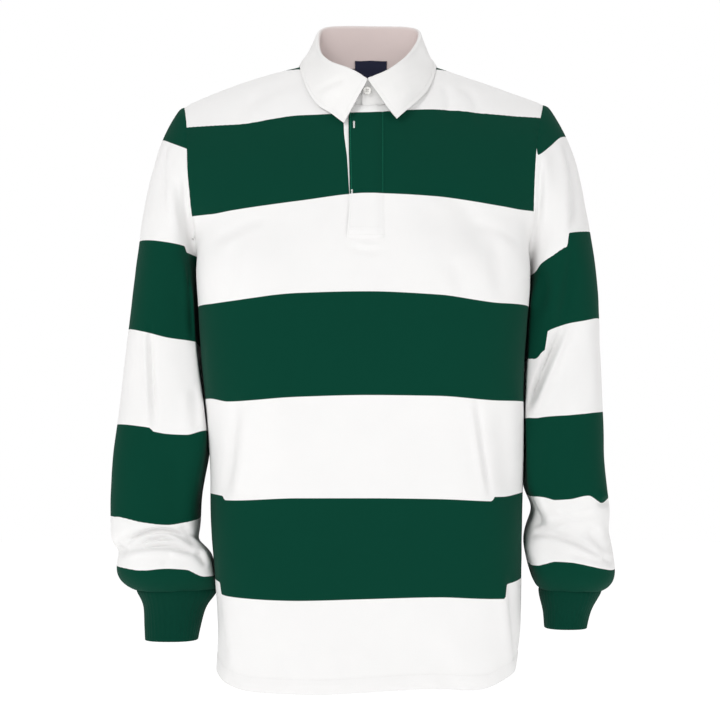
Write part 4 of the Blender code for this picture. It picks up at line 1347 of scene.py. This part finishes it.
moon_rows = lay_inside(half_moon_rows(), back_cloth, MOON_DEPTH)
moon_rows[-1, :, 1] += MOON_TOP_BACK
half_moon = grid_piece("neck_half_moon", moon_rows)
# The half-moon's share of the collar's painted shade.
give_values(half_moon.data, "inside", np.full(len(half_moon.data.vertices), MOON_SHADE_SHARE))
print("half-moon:", moon_rows.shape[:2], "depth", round(float(np.ptp(moon_rows[..., 2])), 4))

# %% [markdown]
# ## The button
#
# A rugby shirt closes with flat rubber buttons, which can't hurt in a tackle. This one is a disc
# with a raised rim, a dished face and four holes. A cylinder is inset twice to make the rim and
# the dish, its edges are bevelled, and four thin cylinders cut the holes.

# %% Button
BUTTON_RIM = 1.1 * MM
BUTTON_SLOPE = 0.4 * MM
BUTTON_DISH = 0.5 * MM
BUTTON_BEVEL = 0.35 * MM
FACE_ON = -0.9
HOLE_RADIUS = 0.7 * MM
HOLE_SPREAD = 1.35 * MM
HOLES = 4
BUTTON_SMOOTH = math.radians(40)


def select_faces(piece, wanted):
    """Select the faces that a test accepts, and nothing else."""
    only(piece)
    bpy.ops.object.mode_set(mode="EDIT")
    bpy.ops.mesh.select_mode(type="FACE")
    bpy.ops.mesh.select_all(action="DESELECT")
    bpy.ops.object.mode_set(mode="OBJECT")
    for face in piece.data.polygons:
        face.select = wanted(face)


def settle(piece):
    """Put a piece's place and turn into its mesh."""
    only(piece)
    bpy.ops.object.transform_apply(location=True, rotation=True, scale=True)


def make_button(name):
    """A button at the place and size of its solid, with its face to the front."""
    low, high = (Vector(corner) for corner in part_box("collar_button"))
    middle, size = (low + high) / 2, high - low
    turn = (math.pi / 2, 0.0, 0.0)
    bpy.ops.mesh.primitive_cylinder_add(
        vertices=48, radius=size.x / 2, depth=size.y, location=middle, rotation=turn
    )
    button = bpy.context.object
    button.name = name
    settle(button)
    select_faces(button, lambda face: face.normal.y < FACE_ON)
    bpy.ops.object.mode_set(mode="EDIT")
    bpy.ops.mesh.inset(thickness=BUTTON_RIM, depth=0.0)
    bpy.ops.mesh.inset(thickness=BUTTON_SLOPE, depth=-BUTTON_DISH)
    bpy.ops.object.mode_set(mode="OBJECT")
    apply_modifier(button, "BEVEL", width=BUTTON_BEVEL, segments=3, limit_method="ANGLE")
    for i in range(HOLES):
        angle = 2 * math.pi * (i + 0.5) / HOLES
        offset = Vector((math.cos(angle), 0.0, math.sin(angle))) * HOLE_SPREAD
        bpy.ops.mesh.primitive_cylinder_add(vertices=16, radius=HOLE_RADIUS, depth=3 * size.y,
                                            location=middle + offset, rotation=turn)
        drill = bpy.context.object
        apply_modifier(button, "BOOLEAN", object=drill, operation="DIFFERENCE")
        bpy.data.objects.remove(drill)
    only(button)
    bpy.ops.object.shade_smooth_by_angle(angle=BUTTON_SMOOTH)
    return button


button = make_button("button_disc")
print("button:", len(button.data.polygons), "faces")

# %% [markdown]
# ## Thread
#
# The hem, the collar's edge and the placket are topstitched. A stitch is a small grain of thread
# that lies half sunk in the cloth. It is modelled once. The rows are then set out along paths on
# the cloth at the pitch of a real machine, and each row's copies are joined in one mesh.

# %% One stitch
STITCH_LENGTH = 2.5 * MM
THREAD = 0.45 * MM


def grain_of_thread():
    """One stitch along X, as points and faces."""
    bpy.ops.mesh.primitive_uv_sphere_add(segments=6, ring_count=4, radius=0.5)
    grain = bpy.context.object
    in_edit_mode(grain, (bpy.ops.transform.rotate, {
        "value": math.pi / 2, "orient_axis": "Y", "center_override": (0.0, 0.0, 0.0)}))
    points = np.array([v.co for v in grain.data.vertices]) * (STITCH_LENGTH, THREAD, THREAD)
    faces = [list(face.vertices) for face in grain.data.polygons]
    bpy.data.objects.remove(grain)
    return points, faces


grain, grain_faces = grain_of_thread()
print("one stitch has", len(grain_faces), "faces")

# %% Rows of stitches
HEM_PITCH, FINE_PITCH = 3.2 * MM, 2.8 * MM


def spaced(path, pitch):
    """Places along a path of points at an even pitch, and the way that the path runs there."""
    path = np.array(path)
    reached = np.concatenate([[0.0], np.cumsum(np.linalg.norm(np.diff(path, axis=0), axis=1))])
    stops = np.arange(pitch / 2, reached[-1], pitch)
    before, here, after = (
        np.stack([np.interp(stops + step, reached, path[:, i]) for i in range(3)], axis=1)
        for step in (-pitch / 4, 0.0, pitch / 4)
    )
    return here, after - before


def sew(name, paths, surface, pitch):
    """Rows of stitches along paths, each set on the nearest place of a surface."""
    points, faces = [], []
    for path in paths:
        for stop, way in zip(*spaced(path, pitch)):
            place, normal, _, _ = surface.find_nearest(Vector(stop))
            along = Vector(way)
            along = (along - along.dot(normal) * normal).normalized()
            turned = np.array([along, normal.cross(along), normal])
            faces += [[i + len(points) * len(grain) for i in face] for face in grain_faces]
            points.append(grain @ turned + np.array(place))
    mesh = bpy.data.meshes.new(name)
    mesh.from_pydata(np.concatenate(points).tolist(), [], faces)
    mesh.shade_smooth()
    piece = bpy.data.objects.new(name, mesh)
    bpy.context.collection.objects.link(piece)
    print(name, "has", len(points), "stitches")
    return piece


def inset_row(rows, distance):
    """The path at a distance from a grid's first row, column by column."""
    along = walked(rows, 0)
    return np.array([
        [np.interp(distance, along[:, c], rows[:, c, i]) for i in range(3)]
        for c in range(rows.shape[1])
    ])


def inset_column(rows, distance):
    """The path at a distance from a grid's first column."""
    return inset_row(rows.transpose(1, 0, 2), distance)


# %% Sew the hem, the collar and the placket
FALL_ROWS = 5
PLACKET_STITCH = 4.5 * MM
BOX_HEIGHT = 9.0 * MM
twill = surface_of(collar)
facing_cloth = surface_of(strips["placket_upper"])
fall = collar_rows[::-1]
upper = strip_rows["placket_upper"]
edge_paths = [
    inset_row(fall, COLLAR_STITCH),
    inset_column(fall[:FALL_ROWS], COLLAR_STITCH),
    inset_column(fall[:FALL_ROWS, ::-1], COLLAR_STITCH),
]
placket_paths = [
    inset_column(upper[:, ::-1], PLACKET_STITCH / 3),
    inset_column(upper, PLACKET_STITCH / 2),
    inset_row(upper, PLACKET_STITCH),
    inset_row(upper, PLACKET_STITCH + BOX_HEIGHT),
]
front_hem, back_hem = inset_row(front_rows, HEM_HEIGHT), inset_row(back_rows, HEM_HEIGHT)
threads = [
    sew("front_hem_thread", [front_hem], front_cloth, HEM_PITCH),
    sew("back_hem_thread", [back_hem], back_cloth, HEM_PITCH),
    sew("collar_thread", edge_paths, twill, FINE_PITCH),
    sew("placket_thread", placket_paths, facing_cloth, FINE_PITCH),
]
placket_thread = threads[-1]
points, _ = read_points(placket_thread.data)
give_values(placket_thread.data, "hoop", body_hoops(points, True))

# %% Bar tacks on the placket
Tack = namedtuple("Tack", "x top length")
TACKS = (Tack(-16.2, -84.8, 8.6), Tack(-18.6, -170.0, 5.0))
TACK_WIDTH, TACK_PITCH = 2.6, 0.45
IN_FRONT = 0.3


def rungs(tack):
    """A tack is a short ladder of stitches, side by side across its length."""
    paths = []
    for z in np.arange(tack.top, tack.top - tack.length, -TACK_PITCH):
        ends = [Vector(((tack.x + side * TACK_WIDTH / 2) * MM, 0.0, z * MM)) for side in (-1, 1)]
        paths.append([ahead(facing_cloth, end, IN_FRONT)[0] for end in ends])
    return paths


tack_paths = [path for tack in TACKS for path in rungs(tack)]
threads.append(sew("placket_tacks", tack_paths, facing_cloth, TACK_WIDTH * MM))

# %% [markdown]
# ## Thickness
#
# So far every cloth is a sheet without thickness. Solidify makes each one a closed wall, grown
# inwards from its outer face, as thick as the real cloth. The inside shows in the neck and under
# the hem, so it counts too.

# %% Give every cloth its thickness
WALLS = {"placket_upper": FACING, "placket_under": FACING, "neck_label": 0.7 * MM}
MOON_WALL = 0.5 * MM
THINNEST = 0.08
WALL_SMOOTH = math.radians(60)


def thicken(piece, thickness):
    """Turn a sheet into a closed wall, inwards from its outer face.

    Its vertex group, if it has one, makes it thinner where the group is weak."""
    group = piece.vertex_groups[0].name if piece.vertex_groups else ""
    apply_modifier(
        piece, "SOLIDIFY", thickness=thickness, offset=-1.0,
        vertex_group=group, thickness_vertex_group=THINNEST if group else 0.0,
    )
    only(piece)
    bpy.ops.object.shade_smooth_by_angle(angle=WALL_SMOOTH)


for piece in cloth.values():
    thicken(piece, JERSEY)
for piece in cuffs.values():
    thicken(piece, CUFF_WALL)
thicken(collar, TWILL)
for name, piece in strips.items():
    thicken(piece, WALLS[name])
thicken(half_moon, MOON_WALL)
print("walls:", {p.name: len(p.data.polygons) for p in (*cloth.values(), *cuffs.values(), collar)})

# %% [markdown]
# ## Materials
#
# All cloth here is cotton: matt, with a faint fuzz that brightens it at grazing angles. Up close
# the jersey shows columns of small V stitches, the collar the diagonal ribs of a twill, and the
# dye is never quite even. Those patterns are node groups that several materials share. They read
# the UV map, which is in metres, so that they follow the cloth round a sleeve and over a fold.

# %% Helpers for node groups
def new_group(name, inputs, outputs):
    """An empty shader node group. inputs are (name, kind, value) and outputs (name, kind)."""
    group = bpy.data.node_groups.new(name, "ShaderNodeTree")
    for label, kind, value in inputs:
        socket = group.interface.new_socket(label, in_out="INPUT", socket_type="NodeSocket" + kind)
        if value is not None:
            socket.default_value = value
    for label, kind in outputs:
        group.interface.new_socket(label, in_out="OUTPUT", socket_type="NodeSocket" + kind)
    sockets = group.nodes.new("NodeGroupInput").outputs, group.nodes.new("NodeGroupOutput").inputs
    return group, *sockets


def calculate(tree, operation, *values):
    """A Math node's output. Each value is a number or another node's output."""
    node = tree.nodes.new("ShaderNodeMath")
    node.operation = operation
    for socket, value in zip(node.inputs, values):
        if isinstance(value, (int, float)):
            socket.default_value = value
        else:
            tree.links.new(value, socket)
    return node.outputs["Value"]


def sine(tree, value, waves):
    """A sine with some waves for each whole step of a value."""
    return calculate(tree, "SINE", calculate(tree, "MULTIPLY", value, waves * 2 * math.pi))


def split(tree, vector):
    """The first two numbers of a vector."""
    node = tree.nodes.new("ShaderNodeSeparateXYZ")
    tree.links.new(vector, node.inputs[0])
    return node.outputs["X"], node.outputs["Y"]


def place_group(tree, group, **values):
    """Put a group into a material, with some inputs set or linked."""
    node = tree.nodes.new("ShaderNodeGroup")
    node.node_tree = group
    for name, value in values.items():
        socket = node.inputs[name.replace("_", " ")]
        if isinstance(value, bpy.types.NodeSocket):
            tree.links.new(value, socket)
        else:
            socket.default_value = value
    return node.outputs


# %% Knit stitches
KNIT_COLUMNS, KNIT_ROWS = 800.0, 1050.0
LOOP_SHARE, LOOP_LEVEL = 0.2, 0.3
ROUND_SHARE, SHADE_SHARE = 0.5, 0.5


def knit_group():
    """Columns of V stitches. Height is for a bump, Shade is a painted shade that darkens the
    grooves between columns.
    """
    tree, inputs, outputs = new_group(
        "knit_stitches",
        (("Vector", "Vector", None), ("Columns per metre", "Float", KNIT_COLUMNS),
         ("Rows per metre", "Float", KNIT_ROWS)),
        (("Height", "Float"), ("Shade", "Float")),
    )
    x, y = split(tree, inputs["Vector"])
    row = calculate(tree, "MULTIPLY", y, inputs["Rows per metre"])
    column = calculate(tree, "MULTIPLY", x, inputs["Columns per metre"])
    off_centre = calculate(tree, "PINGPONG", column, 0.5)
    wave = sine(tree, calculate(tree, "ADD", row, off_centre), 1)
    rounded = sine(tree, off_centre, 1)
    loops = calculate(tree, "MULTIPLY_ADD", wave, LOOP_SHARE, LOOP_LEVEL)
    height = calculate(tree, "MULTIPLY_ADD", rounded, ROUND_SHARE, loops)
    shade = calculate(tree, "MULTIPLY_ADD", height, SHADE_SHARE, 1.0 - SHADE_SHARE)
    tree.links.new(height, outputs["Height"])
    tree.links.new(shade, outputs["Shade"])
    return tree


knit = knit_group()
print("node group:", knit.name)

# %% Twill ribs
TWILL_RIBS = 900.0
TWILL_LEVEL, TWILL_SHARE, WEFT_SHARE = 0.5, 0.35, 0.12


def twill_group():
    """Fine diagonal ribs crossed by the weft."""
    tree, inputs, outputs = new_group(
        "twill_ribs",
        (("Vector", "Vector", None), ("Ribs per metre", "Float", TWILL_RIBS)),
        (("Height", "Float"),),
    )
    x, y = split(tree, inputs["Vector"])
    diagonal = calculate(tree, "ADD", x, y)
    rib = sine(tree, calculate(tree, "MULTIPLY", diagonal, inputs["Ribs per metre"]), 1)
    cross = sine(tree, calculate(tree, "MULTIPLY", x, inputs["Ribs per metre"]), 2)
    ribs = calculate(tree, "MULTIPLY_ADD", rib, TWILL_SHARE, TWILL_LEVEL)
    height = calculate(tree, "MULTIPLY_ADD", cross, WEFT_SHARE, ribs)
    tree.links.new(height, outputs["Height"])
    return tree


twill_weave = twill_group()
print("node group:", twill_weave.name)

# %% Uneven dye
DYE_NOISE = ((14.0, 3.0), (900.0, 2.0))


def dye_group():
    """A slow change of tone over the cloth with a fine fleck in it. Factor is close to 1."""
    tree, inputs, outputs = new_group(
        "uneven_dye",
        (("Vector", "Vector", None), ("Amount", "Float", 0.04)),
        (("Factor", "Float"),),
    )
    tones = []
    for scale, detail in DYE_NOISE:
        texture = tree.nodes.new("ShaderNodeTexNoise")
        texture.inputs["Scale"].default_value = scale
        texture.inputs["Detail"].default_value = detail
        tree.links.new(inputs["Vector"], texture.inputs["Vector"])
        tones.append(calculate(tree, "SUBTRACT", texture.outputs["Fac"], 0.5))
    both = calculate(tree, "ADD", *tones)
    tree.links.new(calculate(tree, "MULTIPLY_ADD", both, inputs["Amount"], 1.0), outputs["Factor"])
    return tree


dye = dye_group()
print("node group:", dye.name)

# %% Finishes of the cloths
WHITE_YARN = (0.845, 0.838, 0.832)
GREEN_YARN = (0.0010, 0.046, 0.027)
WHITE_TWILL = (0.840, 0.832, 0.823)
# Painted shade: a warm grey that stands in for the shade on the twill inside the neck.
SHADED_INSIDE_TWILL = (0.690, 0.585, 0.565)
RIB_GREEN = (0.0012, 0.050, 0.030)
NAVY = (0.021, 0.023, 0.046)
RUBBER = (0.80, 0.79, 0.76)
WHITE_THREAD = (0.80, 0.795, 0.785)
GREEN_THREAD = (0.010, 0.200, 0.115)
COLOUR_EDGE = 0.006
MIX_COLOURS, MIX_RESULT = (6, 7), 2
COTTON_SHINE, COTTON_FUZZ = 0.06, 0.5
Look = namedtuple("Look", "roughness sheen dye relief strength")
JERSEY_LOOK = Look(0.92, 0.03, 0.05, 0.35 * MM, 0.35)
TWILL_LOOK = Look(0.88, 0.05, 0.04, 0.25 * MM, 0.35)
RIB_LOOK = Look(0.92, 0.03, 0.10, 0.40 * MM, 0.50)
THREAD_LOOK = Look(0.70, 0.05, 0.12, 0.0, 0.0)
RUBBER_LOOK = Look(0.45, 0.0, 0.08, 0.05 * MM, 0.30)


def uv_of(tree):
    """The distances along the cloth, in metres."""
    node = tree.nodes.new("ShaderNodeUVMap")
    node.uv_map = "UVMap"
    return node.outputs["UV"]


def place_of(tree):
    """The place in the shirt's own space."""
    return tree.nodes.new("ShaderNodeTexCoord").outputs["Object"]


def value_of(tree, name):
    """A number that the piece's points carry."""
    node = tree.nodes.new("ShaderNodeAttribute")
    node.attribute_name = name
    return node.outputs["Fac"]


def tinted(tree, colour, *factors):
    """A colour, or another node's colour, dimmed by one or more factors."""
    for factor in factors:
        node = tree.nodes.new("ShaderNodeVectorMath")
        node.operation = "SCALE"
        if isinstance(colour, bpy.types.NodeSocket):
            tree.links.new(colour, node.inputs[0])
        else:
            node.inputs[0].default_value = colour
        tree.links.new(factor, node.inputs["Scale"])
        colour = node.outputs["Vector"]
    return colour


def mixed(tree, factor, colour, other):
    """One colour where a factor is 0, another where it is 1.

    A Mix node has a set of sockets for each kind of value. Those for colours have no name of
    their own, so they are found by number."""
    mix = tree.nodes.new("ShaderNodeMix")
    mix.data_type = "RGBA"
    tree.links.new(factor, mix.inputs["Factor"])
    for socket, value in zip(MIX_COLOURS, (colour, other)):
        mix.inputs[socket].default_value = (*value, 1.0)
    return mix.outputs[MIX_RESULT]


def hoop_colour(tree, white, green):
    """White where the hoop count's whole part is even, and green where it is odd."""
    wave = sine(tree, value_of(tree, "hoop"), 0.5)
    edge = tree.nodes.new("ShaderNodeMapRange")
    tree.links.new(wave, edge.inputs["Value"])
    edge.inputs["From Min"].default_value = -COLOUR_EDGE
    edge.inputs["From Max"].default_value = COLOUR_EDGE
    return mixed(tree, edge.outputs["Result"], green, white)


def add_relief(material, height, look):
    """Small relief by shading alone."""
    tree = material.node_tree
    bump = tree.nodes.new("ShaderNodeBump")
    bump.inputs["Distance"].default_value = look.relief
    bump.inputs["Strength"].default_value = look.strength
    tree.links.new(height, bump.inputs["Height"])
    tree.links.new(bump.outputs["Normal"], shader_of(material).inputs["Normal"])


def add_dye_and_painted_shade(material, colour, where, look, *factors):
    """Colour a material a little unevenly, and dim it by more factors, such as a painted shade in
    grooves.
    """
    tree = material.node_tree
    tone = place_group(tree, dye, Vector=where, Amount=look.dye)
    colour = tinted(tree, colour, tone["Factor"], *factors)
    tree.links.new(colour, shader_of(material).inputs["Base Color"])
    return tone["Factor"]


def cotton(name, colour, look):
    """Matt cotton with a faint fuzz, and its tree of nodes."""
    material = plain_material(name, colour, look.roughness)
    shader = shader_of(material)
    shader.inputs["Sheen Weight"].default_value = look.sheen
    shader.inputs["Sheen Roughness"].default_value = COTTON_FUZZ
    shader.inputs["Specular IOR Level"].default_value = COTTON_SHINE
    return material, material.node_tree


# %% The finish of each cloth, the thread and the button
LABEL_RIBS = 1400.0
RIB_COLUMNS, RIB_ROWS = 650.0, 900.0


def jersey_finish():
    """Knit in white and green hoops."""
    material, tree = cotton("hooped_jersey", WHITE_YARN, JERSEY_LOOK)
    uv = uv_of(tree)
    add_dye_and_painted_shade(material, hoop_colour(tree, WHITE_YARN, GREEN_YARN), uv, JERSEY_LOOK)
    add_relief(material, place_group(tree, knit, Vector=uv)["Height"], JERSEY_LOOK)
    return material


def twill_finish(name, colour, ribs=TWILL_RIBS, inside=None):
    """Twill in one colour, mixed towards a painted shade colour where the piece's inside value
    says so.
    """
    material, tree = cotton(name, colour, TWILL_LOOK)
    uv = uv_of(tree)
    # inside is the colour of a painted shade, mixed in by the piece's inside value.
    if inside:
        colour = mixed(tree, value_of(tree, "inside"), colour, inside)
    add_dye_and_painted_shade(material, colour, uv, TWILL_LOOK)
    weave = place_group(tree, twill_weave, Vector=uv, Ribs_per_metre=ribs)
    add_relief(material, weave["Height"], TWILL_LOOK)
    return material


def rib_finish():
    """Green rib knit, with painted shade in the grooves between its stitches."""
    material, tree = cotton("green_rib_knit", RIB_GREEN, RIB_LOOK)
    uv = uv_of(tree)
    stitches = place_group(
        tree, knit, Vector=uv, Columns_per_metre=RIB_COLUMNS, Rows_per_metre=RIB_ROWS
    )
    # The stitches' Shade dims the green as a painted shade in the grooves.
    add_dye_and_painted_shade(material, RIB_GREEN, uv, RIB_LOOK, stitches["Shade"])
    add_relief(material, stitches["Height"], RIB_LOOK)
    return material


def thread_finish(name, white, green=None):
    """Twisted thread, in one colour or in the colour of the hoop below it."""
    material, tree = cotton(name, white, THREAD_LOOK)
    colour = hoop_colour(tree, white, green) if green else white
    add_dye_and_painted_shade(material, colour, place_of(tree), THREAD_LOOK)
    return material


def rubber_finish():
    """Satin rubber with a fine skin."""
    material = plain_material("white_rubber_button", RUBBER, RUBBER_LOOK.roughness)
    fleck = add_dye_and_painted_shade(material, RUBBER, place_of(material.node_tree), RUBBER_LOOK)
    add_relief(material, fleck, RUBBER_LOOK)
    return material


jersey, rib = jersey_finish(), rib_finish()
white_twill = twill_finish("white_collar_twill", WHITE_TWILL, inside=SHADED_INSIDE_TWILL)
label_weave = twill_finish("navy_woven_label", NAVY, ribs=LABEL_RIBS)
white_thread = thread_finish("white_thread", WHITE_THREAD)
hoop_thread = thread_finish("hoop_thread", WHITE_THREAD, GREEN_THREAD)
rubber = rubber_finish()
finishes = (jersey, rib, white_twill, label_weave, white_thread, hoop_thread, rubber)
print("finishes:", [finish.name for finish in finishes])

# %% Give every piece its finish
def give_finish(piece, material, node=None):
    """Give a piece one material in its one slot, hide the solid that node names, and let it ride
    on the shirt's one body.
    """
    piece.data.materials.clear()
    piece.data.materials.append(material)
    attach(piece, "root")
    if node:
        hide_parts(node)


for name, piece in cloth.items():
    give_finish(piece, jersey, name)
for hand, piece in cuffs.items():
    give_finish(piece, rib, "cuff_" + hand)
give_finish(collar, white_twill, "collar")
give_finish(half_moon, white_twill)
give_finish(strips["placket_upper"], jersey, "placket_upper")
give_finish(strips["placket_under"], white_twill, "placket_under")
give_finish(strips["neck_label"], label_weave, "neck_label")
give_finish(button, rubber, "collar_button")
for thread in threads:
    give_finish(thread, hoop_thread if thread is placket_thread else white_thread)
print("materials:", sorted(material.name for material in bpy.data.materials if material.users))

# %% [markdown]
# ## The cut of each sheet
#
# Each cloth piece was cut flat before it was sewn. Its width and length, and the area of the cut,
# are measured on its grid of points, which has no folds finer than the solid's own.

# %% State the cuts
def cut_of(rows, is_tube=False):
    """The size a sheet is cut to, (width, length) and area, from its grid before any creases."""
    points = np.concatenate([rows, rows[:, :1]], axis=1) if is_tube else rows
    start = points[:-1, :-1]
    right, up = points[:-1, 1:] - start, points[1:, :-1] - start
    area = np.linalg.norm(np.cross(right, up), axis=2).sum()
    width, length = walked(points, 1).max(), walked(points, 0).max()
    return (round(float(width), 3), round(float(length), 3)), round(float(area), 5)


cuts = [(cloth[sheet.name], cut_of(sheet.rows, sheet.is_tube)) for sheet in SHEETS]
cuts += [(cuffs[hand], cut_of(cuff_rows[side], True)) for side, hand in HANDS.items()]
cuts += [(collar, cut_of(collar_rows)), (half_moon, cut_of(moon_rows))]
cuts += [(strips[name], cut_of(rows)) for name, rows in strip_rows.items()]
for piece, (flat, area) in cuts:
    print(piece.name, "is cut from", flat, "with an area of", area)

# %% Bring the scene up to date
bpy.context.view_layer.update()
